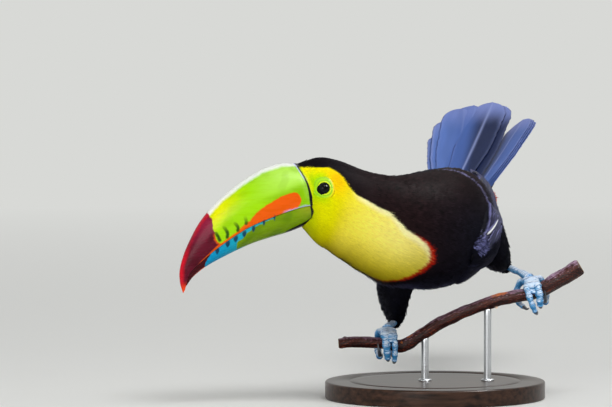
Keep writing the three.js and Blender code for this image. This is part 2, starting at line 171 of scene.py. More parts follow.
def closedGrid(grid):
    # Faces of a grid joined round its columns, with one flat face over each end.
    rows, columns = grid.shape[:2]
    first = np.arange(columns)
    last = first + (rows - 1) * columns
    return turnedOut(grid, [gridFaces(rows, columns, True), first[None, ::-1], last[None]])


def joined(blocks):
    # Several (points, faces, colours, values) as one: points and colours laid end to end, faces moved on.
    points, faces, colours, values, start = [], [], [], {}, 0
    for grid, blockFaces, colour, numbers in blocks:
        flat = grid.reshape(-1, 3)
        points.append(flat)
        colours.append(np.broadcast_to(colour, grid.shape).reshape(-1, 3))
        for key, value in numbers.items():
            values.setdefault(key, []).append(np.broadcast_to(value, grid.shape[:-1]).ravel())
        faces.extend(f + start for f in blockFaces)
        start += len(flat)
    values = {key: np.concatenate(parts) for key, parts in values.items()}
    return np.concatenate(points), faces, np.concatenate(colours), values


def gridNormals(grid, around=True):
    # The direction across a grid of points: its step along the rows crossed with that along the columns.
    ends = np.concatenate([grid[:, -1:], grid, grid[:, :1]], 1) if around else grid
    across = np.gradient(ends, axis=1)[:, 1:-1] if around else np.gradient(grid, axis=1)
    return unit(np.cross(np.gradient(grid, axis=0), across) + 1e-12)


def makePiece(name, points, faces, material, stands=(), colours=None, values=None, patches=None):
    # points in mm. faces is a list of index arrays. colours, values and patches belong to the points.
    mesh = bpy.data.meshes.new(name)
    corners = np.concatenate([f.ravel() for f in faces]).astype(np.int32)
    sizes = np.concatenate([np.full(len(f), f.shape[1]) for f in faces])
    starts = np.concatenate([[0], np.cumsum(sizes)[:-1]]).astype(np.int32)
    mesh.vertices.add(len(points))
    mesh.vertices.foreach_set("co", (points * millimetre).astype(np.float32).ravel())
    mesh.loops.add(len(corners))
    mesh.loops.foreach_set("vertex_index", corners)
    mesh.polygons.add(len(sizes))
    mesh.polygons.foreach_set("loop_start", starts)
    mesh.update(calc_edges=True)
    mesh.shade_smooth()
    if colours is not None:
        layer = mesh.attributes.new("plumage", "FLOAT_COLOR", "POINT")
        layer.data.foreach_set("color", np.hstack([colours, np.ones((len(points), 1))]).ravel())
    for key, numbers in (values or {}).items():
        layer = mesh.attributes.new(key, "FLOAT", "POINT")
        layer.data.foreach_set("value", np.asarray(numbers, np.float32).ravel())
    if patches is not None:
        layer = mesh.uv_layers.new(name="OFBake")
        layer.data.foreach_set("uv", patches[corners].astype(np.float32).ravel())
    mesh.materials.append(material)
    piece = bpy.data.objects.new(name, mesh)
    bpy.context.scene.collection.objects.link(piece)
    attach(piece, "root")
    if stands:
        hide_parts(*stands)
    return piece


def makeShell(name, grid, material, stands=(), colour=None):  # a grid with closed ends as a piece
    colours = None if colour is None else np.broadcast_to(colour, grid.shape).reshape(-1, 3)
    return makePiece(name, grid.reshape(-1, 3), closedGrid(grid), material, stands, colours)


# Materials

def newMaterial(name, **sockets):  # a socket's name is written with _ for each space
    material = bpy.data.materials.new(name)
    material.use_nodes = True
    shader = material.node_tree.nodes["Principled BSDF"]
    for key, value in sockets.items():
        shader.inputs[key.replace("_", " ")].default_value = value
    return material, material.node_tree, shader


def addNode(tree, kind, inputs=None, **settings):
    # One node: its settings, and for each named or numbered socket a value or the socket that feeds it.
    node = tree.nodes.new(kind)
    for key, value in settings.items():
        setattr(node, key, value)
    for key, value in (inputs or {}).items():
        if isinstance(value, bpy.types.NodeSocket):
            tree.links.new(value, node.inputs[key])
        else:
            node.inputs[key].default_value = value
    return node


# The body's own shape

body = dict(  # one row for each station from the bill's root to the tail's, as the solids have it
    place=[(-109, -81.5, 167.5), (-93, -79, 167), (-80, -77, 162), (-65, -73.5, 154), (-47, -66.5, 146),
           (-28, -53, 140), (-9, -30, 135), (6, -5, 136), (16, 25, 139), (20, 52, 145), (23, 78, 152),
           (24, 98, 157)],
    girth=[(25, 24, 15), (31, 38, 22), (33.5, 40.5, 25), (34.5, 40, 28), (38, 43, 33), (43.5, 46, 39),
           (49, 46, 42), (49, 45, 40), (45, 40, 35), (36, 33, 30), (26, 25, 25), (14, 17, 18)],
    aim=[(80, 4), (79, 2), (75, -4), (68, -12), (58, -16), (46, -12), (34, -4), (25, 4), (18, 8), (14, 11),
         (11, 14), (9, 16)],
    frontEnd=0.4, rearEnd=0.5, frontLength=5, rearLength=8,
    faceDepth=0.9, trunkDepth=3.4)
lastStation = len(body["place"]) - 1


def bodyPoint(station, angle, height):
    # A section's middle, plus its reach to the side times the angle's cosine and its reach up or down
    # times the sine. height is added to both reaches. Past either end the section closes in an arc.
    station, angle, height = arrays(station, angle, height)
    inside = np.clip(station, 0, lastStation)
    before = np.clip(-station / body["frontEnd"], 0, 1)
    beyond = np.clip((station - lastStation) / body["rearEnd"], 0, 1)
    closing = np.sqrt(1 - np.maximum(before, beyond)**2)
    aim, girth = curveAt(body["aim"], inside), curveAt(body["girth"], inside)
    on, left, up = axesOf(aim[..., 0], aim[..., 1])
    rise = np.sin(np.radians(angle))
    upReach = (np.where(rise > 0, girth[..., 0], girth[..., 1]) + height) * rise * closing
    sideReach = (girth[..., 2] + height) * np.cos(np.radians(angle)) * closing
    shift = beyond * body["rearLength"] - before * body["frontLength"]
    middle = curveAt(body["place"], inside) + on * shift[..., None]
    return middle + left * sideReach[..., None] + up * upReach[..., None]


def coatDepth(station):  # how far the skin lies below the feathers' tips
    return mix(body["faceDepth"], body["trunkDepth"], ease(1.2, 5, station))


def onSide(angle, sign):  # the same angle on the bird's left for 1 and on its right for -1
    return angle if sign > 0 else 180 - angle


eye = dict(station=1.04, angle=15.5, radius=6.2, sunk=4.3, pupil=1.8, iris=4.4, cornea=0.35,
           longHalf=5, shortHalf=4.2, tilt=38, lidHeight=0.6, ringWidth=5.2, bareReach=9.6, ringSunk=3,
           folds=[(0.16, 2.3, 0.9), (-0.2, 1.45, 0.5), (-0.16, 3.3, 0.6), (0.1, 4, 0.8)])
eyeAcross = float(lengthAlong(bodyPoint, eye["station"], eye["angle"], 0.05, "u"))
eyeUpwards = float(lengthAlong(bodyPoint, eye["station"], eye["angle"], 1.0, "v"))

faceForms = [  # height in mm, then the middle and half width of each form back from the eye and up from it
    (0.9, 1, 15, 10.5, 5),  # the brow
    (-0.9, -9, 6, 1, 12),  # the hollow before the eye
    (0.9, 6, 16, -17, 13)]  # the cheek behind the gape
chin = 2.4


def eyePlace(station, angle):
    # Millimetres back and up from the middle of the nearer eye, along the body's surface.
    folded = np.where(np.cos(np.radians(angle)) < 0, 180 - angle, angle)
    folded = (folded + 180) % 360 - 180
    return (station - eye["station"]) * eyeAcross, (folded - eye["angle"]) * eyeUpwards


def faceForm(station, angle):
    # The face's low relief in mm: each form is its height times a tent backwards and a tent upwards.
    back, up = eyePlace(station, angle)
    relief = chin * tent(station, 0.62, 0.75) * ease(-35, -80, angle) * ease(-145, -100, angle)
    for height, backMiddle, backHalf, upMiddle, upHalf in faceForms:
        relief = relief + height * tent(back, backMiddle, backHalf) * tent(up, upMiddle, upHalf)
    return relief


def skinHeight(station, angle):  # the skin's height over the solids, sunk where the bare ring lies on it
    back, up = eyePlace(station, angle)
    ring = 1 - ease(eye["bareReach"] - 3, eye["bareReach"], np.hypot(back, up))
    return faceForm(station, angle) - coatDepth(station) - eye["ringSunk"] * ring


# Markings. Skin and feathers take their colour from the same functions.

bib = dict(  # its edges as (station, angle): up the bird's left side, and round to its right
    leftEdge=[(-1, 72), (0, 72), (0.22, 57), (0.5, 53.5), (1, 50.5), (1.38, 52), (1.75, 46.5), (2, 40),
              (2.2, 28), (2.5, 20.5), (2.9, 18.5), (3.4, 13.5), (3.7, 12), (3.9, 5.5), (4.2, -3), (4.6, -9),
              (4.8, -13.5), (4.95, -18), (5.07, -26), (5.12, -33)],
    rightEdge=[(-1, -252), (0, -252), (0.22, -237), (0.5, -233), (1, -230.5), (1.4, -231), (1.75, -226),
               (2, -218), (2.3, -203), (2.6, -186), (3, -168), (3.4, -126), (3.65, -100), (3.85, -92),
               (4.2, -85), (4.5, -79), (4.75, -70), (4.9, -57), (5.02, -45), (5.12, -33)],
    bandWidth=0.14)
hems = dict(  # as (angle, station): the dark corner of the gape, and the end of the mantle's feathers, where a painted lavender highlight runs
    gape=[(-60, -1), (-48, 0.1), (-42, 0.2), (-37, 0.33), (-33, 0.43), (-12, 0.45), (-8, 0.43), (-3, 0.36),
          (3, -1)],
    mantle=[(-10, 6.4), (0, 6.75), (21, 7.48), (30, 7.54), (44, 7.57), (57, 7.44), (70, 7.3), (80, 7.1),
            (85, 6.7), (90, 5.7)])
# bibPale and cream are painted light on the bib; bibLow and bibUnder are painted shade on it.
tones = palette(
    cap="#120c12", mantle="#1f1214", belly="#08080d", flank="#11111c", faceTop="#fdf000", cheek="#eeec00",
    lores="#cfe000", gold="#ffcc00", peach="#f4c43c", lime="#a8e200", limeShade="#56800c", rim="#dcea10",
    bibFace="#eee000", bibMiddle="#fff050", bibPale="#fbee88", cream="#fffad0", bibLow="#b4a200",
    bibUnder="#887800", band="#b3200c", crissum="#e23a16", rump="#e9e6e2", hem="#9c98cc")


def bibInside(station, angle):
    # Degrees inside the bib's edge, below 0 outside it. The angle runs down from the left to the right.
    turned = np.where(angle > 90, angle - 360, angle)
    left, right = lineAt(bib["leftEdge"], station), lineAt(bib["rightEdge"], station)
    return np.where(station < bib["leftEdge"][-1][0], np.minimum(left - turned, turned - right), -40)


def plumageColour(station, angle, ragged=0):
    # Linear colour of the plumage: black, face and breast are stacks of tones, laid over each other by how
    # far a place is inside their edges. ragged moves the edges by that many stations, so tips interlock.
    turned = np.where(angle > 90, angle - 360, angle)
    folded = np.where(turned < -90, -180 - turned, turned)
    back, up = eyePlace(station, angle)
    # low is the underside: there the belly gets its own black, and the yellow gets painted shade.
    low = ease(-20, -80, turned) * ease(-215, -160, turned)
    hem = lineAt(hems["mantle"], turned) - station - ragged
    black = layered(
        tones, "cap",
        ("mantle", ease(1.5, 3.5, station)),
        ("flank", ease(4.2, 6.5, station) * ease(60, 0, turned)),
        ("belly", ease(3.5, 5.5, station) * low),
        # a painted lavender highlight along the mantle's end
        ("hem", tent(hem, 0, 0.1) * ease(-5, 15, turned) * 0.75))
    lime = (1 - ease(8, 18, np.hypot(back, up))) * ease(9, -6, back) * ease(-18, -4, up)
    face = layered(
        tones, "faceTop",
        ("cheek", ease(35, 0, turned)),
        ("lores", ease(0.9, 0.3, station) * ease(45, 10, turned) * 0.8),
        # painted shade on the throat
        ("bibLow", ease(-20, -75, turned) * ease(-240, -170, turned) * 0.4),
        ("gold", tent(station, 1.8, 1) * tent(turned, 30, 34)),
        ("lime", lime * 0.9),
        ("peach", ease(0.6, 0.3, station) * tent(turned, 38, 22) * 0.6))
    # pale is a painted light over the bib's upper rear, and rim a painted highlight along its upper edge.
    pale = ease(2.3, 4.6, station) * ease(-65, -5, turned)
    rim = ease(10, 2, bibInside(station, angle)) * ease(2.2, 2.9, station) * ease(-45, -15, turned)
    breast = layered(
        tones, "bibFace",
        (blend(tones["bibMiddle"], tones["bibPale"], pale), ease(1.6, 2.9, station - 0.012 * turned)),
        # painted shade low on the breast, towards its rear and underneath
        ("bibLow", low * 0.9),
        ("bibLow", ease(4.1, 5, station) * 0.35),
        ("bibUnder", ease(-72, -100, turned) * ease(-200, -150, turned) * 0.8),
        ("cream", rim * 0.6))
    yellow = blend(face, breast, ease(1.2, 2.4, station - 0.01 * turned))
    bandWidth = mix(0.05, bib["bandWidth"], ease(-95, -40, turned))
    inBand = ease(-1, 1, bibInside(station + ragged - bandWidth, angle)) * ease(-4, -14, turned)
    above = ease(18, 30, angle) * ease(162, 150, angle)
    return layered(
        tones, black,
        ("band", inBand * ease(3.9, 4.5, station)),
        (yellow, ease(-1, 1, bibInside(station + ragged, angle))),
        ("rump", ease(9.2, 9.5, station + ragged) * ease(34, 24, np.abs(angle - 90))),
        ("cap", ease(-0.03, 0.03, lineAt(hems["gape"], folded) - station - 0.2 * ragged)),
        ("crissum", ease(9.6, 10, station + ragged) * (1 - above)))


# Wings, legs and tail as surfaces

wing = dict(  # folded on the body's side, nearly as in the solids
    line=[(6.3, -24), (6.8, -18), (7.6, -6), (8.6, 6), (9.6, 18), (10.7, 28), (11.7, 34)],  # station, angle
    size=[(8, 3), (20, 5.5), (28, 6.4), (29, 3), (25, 2.6), (14, 2.3), (2, 0.8)],  # half height and thickness
    curl=0.012, reach=22, depth=1.2, groove=4.6)


def wingPath(sign, t):
    # The middle line of the wing at t from 0 to 1, with the body's axes and the angle there.
    line = curveAt(wing["line"], t * (len(wing["line"]) - 1))
    station, angle = line[..., 0], onSide(line[..., 1], sign)
    inside = np.minimum(station, lastStation)
    aim = curveAt(body["aim"], inside)
    on, left, up = axesOf(aim[..., 0], aim[..., 1])
    past = np.maximum(0, station - lastStation) * wing["reach"]
    return bodyPoint(inside, angle, 0) + on * past[..., None], left, up, angle


def wingFrame(sign, t):
    # The wing's middle line with the way out of the body and the way up across the wing, both square to it.
    place, left, up, angle = wingPath(sign, t)
    on = unit(wingPath(sign, t + 0.01)[0] - wingPath(sign, t - 0.01)[0])
    angle = np.radians(angle)[..., None]
    out = left * np.cos(angle) + 0.8 * up * np.sin(angle)
    out = unit(out - on * (out * on).sum(-1, keepdims=True))
    return place, out, np.cross(out, on) * sign


def wingSize(t):  # half the wing's height and half its thickness
    size = curveAt(wing["size"], np.clip(t, 0, 1) * (len(wing["size"]) - 1))
    return size[..., 0], size[..., 1]


def wingGroove(t, v):  # the hollow between the shoulder's feathers and the folded wing, in mm
    return wing["groove"] * tent(t, 0.455, 0.13) * ease(4, 18, v)


def wingSurface(sign):
    # A lens: from its middle line, half its thickness outwards times the turn's cosine and half its
    # height upwards times the turn's sine, with its edges bent in by the square of that height.
    def point(t, turn, height):
        t, turn, height = arrays(t, turn, height)
        place, out, rise = wingFrame(sign, t)
        halfHeight, halfThickness = wingSize(t)
        turn = np.radians(turn)
        across = np.maximum(halfHeight + height, 0) * np.sin(turn)
        outward = np.maximum(halfThickness + height, 0) * np.cos(turn) - wing["curl"] * across**2
        outward = outward - wingGroove(t, across) * (np.cos(turn) > 0)
        return place + out * outward[..., None] + rise * across[..., None]
    return point


def wingOuter(sign):
    # The wing's outer face: v is millimetres up from its middle line, and the rest is the lens's own shape.
    def point(t, v, height):
        t, v, height = arrays(t, v, height)
        place, out, rise = wingFrame(sign, t)
        halfHeight, halfThickness = wingSize(t)
        share = np.clip(v / np.maximum(halfHeight, 1), -1, 1)
        outward = halfThickness * np.sqrt(1 - share**2) + height - wing["curl"] * v**2 - wingGroove(t, v)
        return place + out * outward[..., None] + rise * v[..., None]
    return point


def tubeFrames(rows, samples=48):
    # A tube's middle line through its rows with two axes across it, carried along without twisting.
    rows = np.array(rows, float)
    t = np.linspace(0, 1, samples)
    line = curveAt(rows, t * (len(rows) - 1))
    on = unit(np.gradient(line[:, :3], axis=0))
    side = np.array([1.0, 0, 0]) if abs(on[0, 2]) > 0.9 else np.array([0, 0, 1.0])
    sides = []
    for step in on:
        side = unit(side - step * (side @ step))
        sides.append(side)
    sides = np.array(sides)
    return dict(line=line, side=sides, across=np.cross(sides, on))


def tubeSurface(frames):
    # The middle line plus the radius and height times the cosine and sine of the turn on its two axes.
    last = len(frames["line"]) - 1

    def point(t, turn, height):
        t, turn, height = arrays(t, turn, height)
        inside = np.clip(t, 0, 1) * last
        line = curveAt(frames["line"], inside)
        side, across = curveAt(frames["side"], inside), curveAt(frames["across"], inside)
        turn = np.radians(turn)
        radius = np.maximum(line[..., 3] + height, 0)
        direction = side * np.cos(turn)[..., None] + across * np.sin(turn)[..., None]
        return line[..., :3] + direction * radius[..., None]
    return point


def turnsOf(columns):  # that many turns round a tube, in degrees
    return np.linspace(0, 360, columns, endpoint=False)[None, :]


def closedTube(point, rows, columns, height, endRound=0.0):
    # A grid round a surface from t 0 to 1 whose ends are drawn in to nothing along a quarter circle.
    share, turn = np.linspace(0, 1, rows)[:, None], turnsOf(columns)
    grid = point(share, turn, height)
    if endRound:
        middle = point(share, turn, deepInside)
        closing = np.sqrt(np.clip(1 - (1 - np.minimum(share, 1 - share) / endRound).clip(0)**2, 0, 1))
        grid = middle + (grid - middle) * closing[..., None]
    return grid


thighs = dict(  # feathered legs from inside the body to the heel: place and radius
    right=[(-22, -2, 118, 20), (-31, -6, 97, 16), (-33, 8, 82, 12.5), (-32, 24, 69, 9),
           (-31.4, 35, 59.6, 5.6), (-32.6, 31, 56.8, 3.4)],
    left=[(32, 6, 138, 21), (41, 3, 127, 16), (46, 12, 117, 13.5), (51, 25, 109, 9.5),
          (55.4, 35.5, 104, 5.2), (58.4, 31.5, 101.6, 3.4)],
    depth=2.2, area=(0, 1), turns=(0, 360), count=2300, barbs=6, stray=0.22, lift=0.5, vary=0.2)
thighSurfaces = {side: tubeSurface(tubeFrames(thighs[side])) for side in sides}
wingSurfaces = {side: wingSurface(sign) for side, sign in sides.items()}


# The skin: body, wings and thighs in one piece, with the bare ring and lids round each eye

def bareRing(sign):
    # Rings of points round the eye on the body's surface. Height rises from the eyeball to the lid's rim,
    # then falls through two low folds to the skin.
    around = np.linspace(0, 2 * np.pi, 160, endpoint=False)[None, :]
    width = eye["ringWidth"]
    away = np.concatenate([np.linspace(-0.7, 2.4, 24), np.linspace(2.6, width, 18)])[:, None]
    tilt = np.radians(eye["tilt"])
    opening = 1 / np.hypot(np.cos(around - tilt) / eye["longHalf"], np.sin(around - tilt) / eye["shortHalf"])
    wider = 1 + 0.2 * np.sin(around - 0.5) - 0.08 * np.cos(around)
    reach = opening + away * np.where(away > 1, 1 + (wider - 1) * (away - 1) / (width - 1), 1)
    station = eye["station"] + reach * np.cos(around) / eyeAcross
    angle = eye["angle"] + reach * np.sin(around) / eyeUpwards
    ball = np.sqrt(eye["radius"]**2 - opening**2) - eye["sunk"]
    rim = ball + eye["lidHeight"] * np.sin(np.pi / 2 * ease(-0.7, 0.6, away))
    drift = away + 0.22 * np.sin(2 * around + 1) + 0.15 * np.sin(5 * around)
    folds = sum(high * tent(drift, middle, half) for high, middle, half in eye["folds"])
    crinkle = np.sin(30 * around + 3 * np.sin(3 * around)) * 0.04 * ease(0.8, 1.6, away) * ease(5, 4, away)
    height = mix(rim, 0.05, ease(0.6, 2.6, away)) + folds + crinkle
    height = height - 0.5 * ease(3.2, 4.4, away) - 1.1 * ease(4.3, width, away)
    height = np.where(away < 0, ball + 0.8 * away, height) + faceForm(station, angle) * ease(1, 3, away)
    points = bodyPoint(station, onSide(angle, sign), height)
    # Painted shade in the ring's folds and where the lid meets the eyeball, in limeShade.
    crease = np.maximum(0.7 * tent(drift, 1.5, 0.45), 0.45 * tent(drift, 3.3, 0.6)) + ease(0, -0.5, away)
    colour = layered(
        tones, "lime",
        ("rim", ease(1.7, 0.5, away) * ease(-0.5, 0.1, away) * 0.8),
        ("limeShade", np.clip(crease, 0, 1) * 0.7),
        (plumageColour(station, angle),
         ease(3.2, width, away + 1.7 * np.cos(around) - 0.7 * np.sin(around))))
    return points, np.broadcast_to(colour, points.shape)


def makeSkin(material):
    # Its rows lie closest together on the face, and its far end closes in an arc.
    neck = 2.6
    station = np.concatenate([
        np.linspace(-body["frontEnd"], 0, 8)[:-1], np.linspace(0, neck, 130)[:-1],
        np.linspace(neck, lastStation, 170)[:-1],
        lastStation + body["rearEnd"] * np.sin(np.linspace(0, np.pi / 2, 10))])[:, None]
    angle = np.linspace(-180, 180, 200, endpoint=False)[None, :]
    grid = bodyPoint(station, angle, skinHeight(station, angle))
    blocks = [(grid, closedGrid(grid), plumageColour(*np.broadcast_arrays(station, angle)), {})]
    for side, sign in sides.items():
        ring, colour = bareRing(sign)
        under = bodyPoint(eye["station"], onSide(eye["angle"], sign), -12)
        blocks.append((ring, turnedOut(ring, [gridFaces(*ring.shape[:2], True)], under), colour, {}))
        for grid in (closedTube(wingSurfaces[side], 80, 48, -wing["depth"], 0.06),
                     closedTube(thighSurfaces[side], 50, 40, -thighs["depth"], 0.08)):
            blocks.append((grid, closedGrid(grid), tones["belly"], {}))
    points, faces, colours, _ = joined(blocks)
    flesh = ("head", "neck", "trunk", "wing_left", "wing_right", "thigh_left", "thigh_right")
    makePiece("skin", points, faces, material, flesh, colours)
    print("skin made")


# Feathers

def scatter(point, count, uRange, vRange, density):
    # Places spread evenly over a surface: a grid's share of area times density gives two running sums,
    # and an even sequence of two numbers for each feather picks its u and then its v from them.
    u = np.linspace(*uRange, 61)
    v = np.linspace(*vRange, 121)
    uMiddle, vMiddle = (u[1:] + u[:-1])[:, None] / 2, (v[1:] + v[:-1])[None, :] / 2
    area = lengthAlong(point, uMiddle, vMiddle, 0.01, "u") * lengthAlong(point, uMiddle, vMiddle, 0.5, "v")
    weight = np.maximum(area * density(uMiddle, vMiddle), 1e-9)
    order = np.arange(count)
    first, second = ((0.5 + order * step) % 1 for step in evenSteps)
    rowSum = np.concatenate([[0], np.cumsum(weight.sum(1))])
    uAt = np.interp(first * rowSum[-1], rowSum, u)
    row = np.clip(np.searchsorted(u, uAt) - 1, 0, len(u) - 2)
    sums = np.cumsum(weight, axis=1)
    sums = sums / sums[:, -1:] + np.arange(len(sums))[:, None]
    found = np.searchsorted(sums.ravel(), row + second)
    column = np.clip(found - row * weight.shape[1], 0, weight.shape[1] - 1)
    before = np.where(column > 0, sums[row, np.maximum(column - 1, 0)] - row, 0)
    share = (second - before) / np.maximum(sums[row, column] - row - before, 1e-9)
    return uAt, v[column] + np.clip(share, 0, 1) * (v[1] - v[0])


def facesOut(point, u, v):  # whether u crossed with v leads out of a surface
    place = point(u, v, 0)
    across = np.cross(point(u + 0.01, v, 0) - place, point(u, v + 0.5, 0) - place)
    return (across * (point(u, v, 1) - place)).sum() > 0


def perFeather(x, count):  # one value for each feather, set against its barbs and their points
    return np.broadcast_to(np.asarray(x, float), (count,))[:, None, None]


def laidOn(point, u, v, lie, x, y):
    # Millimetres along and across each feather's lie, added to its root's u and v on the surface.
    perU, perV = lengthAlong(point, u, v, 0.01, "u"), lengthAlong(point, u, v, 0.5, "v")
    turn, perU, perV, u, v = (perFeather(numbers, len(u)) for numbers in (lie, perU, perV, u, v))
    return (u + (x * np.cos(turn) - y * np.sin(turn)) / perU,
            v + (x * np.sin(turn) + y * np.cos(turn)) / perV)


barb = dict(  # the seven points of a barb, a pointed blade: their place along it, their side and its width
    along=np.array([0, 0, 0.4, 0.4, 0.78, 0.78, 1.0]), edge=np.array([-1, 1, -1, 1, -1, 1, 0.0]),
    taper=np.array([1, 1, 1.1, 1.1, 0.7, 0.7, 0]), quads=np.array([[0, 2, 3, 1], [2, 4, 5, 3]]),
    tip=np.array([[4, 6, 5]]), outerShorter=0.24, ragged=0.09, sway=0.07, overlap=0.62)


def layTufts(point, u, v, lie, length, width, low, high, barbs, curl):
    # Each feather is a fan of barbs side by side, laid on the surface. A point of it is at its root's u and
    # v, plus its place along and across the lie turned into u and v. Its height goes from low at the root
    # to high at the tip, and the outer barbs are shorter and lower.
    fan = np.linspace(-1, 1, barbs)[None, :, None]
    edge, count = barb["edge"], len(u)
    length, width, low, high, curl = (perFeather(x, count) for x in (length, width, low, high, curl))
    ragged = chance.uniform(-barb["ragged"], barb["ragged"], (count, barbs, 1))
    a = barb["along"] * (1 - barb["outerShorter"] * fan**2 + ragged)
    sway = chance.normal(0, barb["sway"], (count, barbs, 1)) * a**2
    spread = 0.3 + 0.7 * ease(0, 0.5, a) - 0.25 * a**3
    x = length * a
    y = width * (fan * spread * 0.5 + sway + edge * barb["taper"] * barb["overlap"] / barbs)
    height = low + (high - low) * a**0.85 + curl * a**3
    height = height - 0.05 * width * fan**2 + 0.035 * edge * width * (a < 1)
    uAt, vAt = laidOn(point, u, v, lie, x, y)
    start = (np.arange(count * barbs) * len(edge))[:, None]
    quads = (start[:, None] + barb["quads"]).reshape(-1, 4)
    tips = start + barb["tip"]
    if not facesOut(point, u, v):
        quads, tips = quads[:, ::-1], tips[:, ::-1]
    return point(uAt, vAt, height), [quads, tips], np.stack([a, y / width + 0.5], -1), uAt, vAt


def makeCoat(name, point, coat, shape, colourOf, material,
             lie=lambda u, v: 0 * u, density=lambda u, v: 1):
    # coat holds the ranges of u (area) and v (turns), how many feathers, their barbs and how far they
    # stray. shape gives length, width, low, high and curl at u and v, and roots that it makes shorter than
    # a tenth of a millimetre are left out. Each feather's colour strays a little from its place's.
    (uLow, uHigh), (vLow, vHigh) = coat["area"], coat["turns"]
    u, v = scatter(point, coat["count"], coat["area"], coat["turns"], density)
    sizes = [np.broadcast_to(x, u.shape) for x in shape(u, v)]
    u, v, length, width, low, high, curl = (x[sizes[0] > 0.1] for x in (u, v, *sizes))
    count, barbs = len(u), coat["barbs"]
    length = length * chance.uniform(0.82, 1.18, count)
    turn = lie(u, v) + chance.normal(0, coat["stray"], count)
    high = high + chance.normal(0, coat["lift"], count)
    points, faces, patch, uAt, vAt = layTufts(point, u, v, turn, length, width, low, high, barbs, curl)
    tone = colourOf(uAt, vAt, chance.normal(0, 0.02, (count, barbs, 1)))
    bright = chance.normal(1, coat["vary"], (count, 1, 1, 1)) * chance.normal(1, 0.05, (count, barbs, 1, 1))
    # Each barb is darker towards its root: a painted shade where the feathers overlap.
    bright = bright * (1.04 - coat.get("deep", 0.2) * (1 - patch[..., :1]))
    colours = np.clip(tone * bright, 0, 1)
    uv = np.stack([(u - uLow) / (uHigh - uLow), (v - vLow) / (vHigh - vLow)], -1)
    patches = 0.002 + uv[:, None, None, :] * 0.993 + patchSize * patch
    makePiece(name, points.reshape(-1, 3), faces, material, (), colours.reshape(-1, 3), None,
              patches.reshape(-1, 2))
    print("coat", name, count, "feathers", sum(len(f) * (f.shape[1] - 2) for f in faces), "triangles")


def bodyLie(station, angle):
    # Feathers lie back along the body, and those of the sides and belly turn down a little on the way.
    side = np.cos(np.radians(angle))
    return np.radians(-9) * side * ease(1, 3, station) * ease(9, 6, station)


def isYellow(station, angle):  # whether a place is inside the bib's edges
    return bibInside(station, angle) > 0


coats = dict(  # length and width each grow from one value to another between two stations
    face=dict(area=(0, 2.5), turns=(-270, 90), count=9500, barbs=3, stray=0.12, lift=0.04, vary=0.03,
              deep=0.03, grow=(0, 2.4), length=(2.6, 5.5), width=(1.1, 1.9)),
    bib=dict(area=(1.9, 5.3), turns=(-270, 90), count=9000, barbs=4, stray=0.08, lift=0.05, vary=0.03,
             deep=0.03, grow=(2, 4.6), length=(5.5, 9.5), width=(1.9, 3)),
    crown=dict(area=(0, 3.2), turns=(0, 180), count=6000, barbs=3, stray=0.1, lift=0.1, vary=0.15,
               grow=(0, 3), length=(3.2, 8), width=(1.3, 3)),
    mantle=dict(area=(2.6, 9.4), turns=(-20, 200), count=6200, barbs=6, stray=0.11, lift=0.3, vary=0.28,
                grow=(3, 7), length=(9, 15), width=(4, 7)),
    belly=dict(area=(3.2, 10), turns=(-200, 20), count=6200, barbs=6, stray=0.11, lift=0.3, vary=0.3,
               grow=(3, 7), length=(9, 14), width=(4, 6.5)),
    rump=dict(area=(8.8, 11.3), turns=(-180, 180), count=1900, barbs=7, stray=0.14, lift=0.3, vary=0.12,
              grow=(9.6, 10.6), length=(13, 9), width=(6, 6)))
coatPlaces = dict(  # where each coat grows
    face=lambda s, a: isYellow(s, a) & (s < 2.3),
    bib=lambda s, a: isYellow(s - 0.2, a) & (s > 2.2),
    crown=lambda s, a: ~isYellow(s, a) & (s < 3),
    mantle=lambda s, a: ~isYellow(s, a) & (s > 2.8),
    belly=lambda s, a: ~isYellow(s - 0.2, a),
    rump=lambda s, a: (s < 10.9) | (np.abs(a - 90) > 85))


def bareOut(station, angle, length):  # no feathers on the bare ring, and short ones at its edge
    back, up = eyePlace(station, angle)
    away = np.hypot(back - 0.3, up - 0.7)
    return length * np.where(away < 8.6, 0, ease(6, 12, away))


def makeBodyCoats(yellow, black):
    # Each coat covers its own places in its own sizes, and its feathers stand closest on the face.
    def shape(station, angle):
        # From just above the skin to just under the tips' own surface. The red undertail and the breast's
        # keel are fluffed out.
        depth, form, grown = coatDepth(station), faceForm(station, angle), ease(*coat["grow"], station)
        length = bareOut(station, angle, mix(*coat["length"], grown))
        folded = np.where(angle < -90, -180 - angle, angle)
        flare = 8.5 * ease(9.3, 10.3, station) * tent(folded, -5, 38)
        flare = flare + 3.4 * tent(station, 4.45, 0.8) * tent(folded, -88, 20)
        return (np.where(coatPlaces[name](station, angle), length, 0), mix(*coat["width"], grown),
                form - depth * 0.9, form - depth * 0.08 + flare, 0)

    for name, coat in coats.items():
        isFace = name in ("face", "bib")
        makeCoat("coat_" + name, bodyPoint, coat, shape, plumageColour, yellow if isFace else black,
                 bodyLie,
                 lambda station, angle: 1 / (0.6 + ease(0, 5, station)))


# Bill

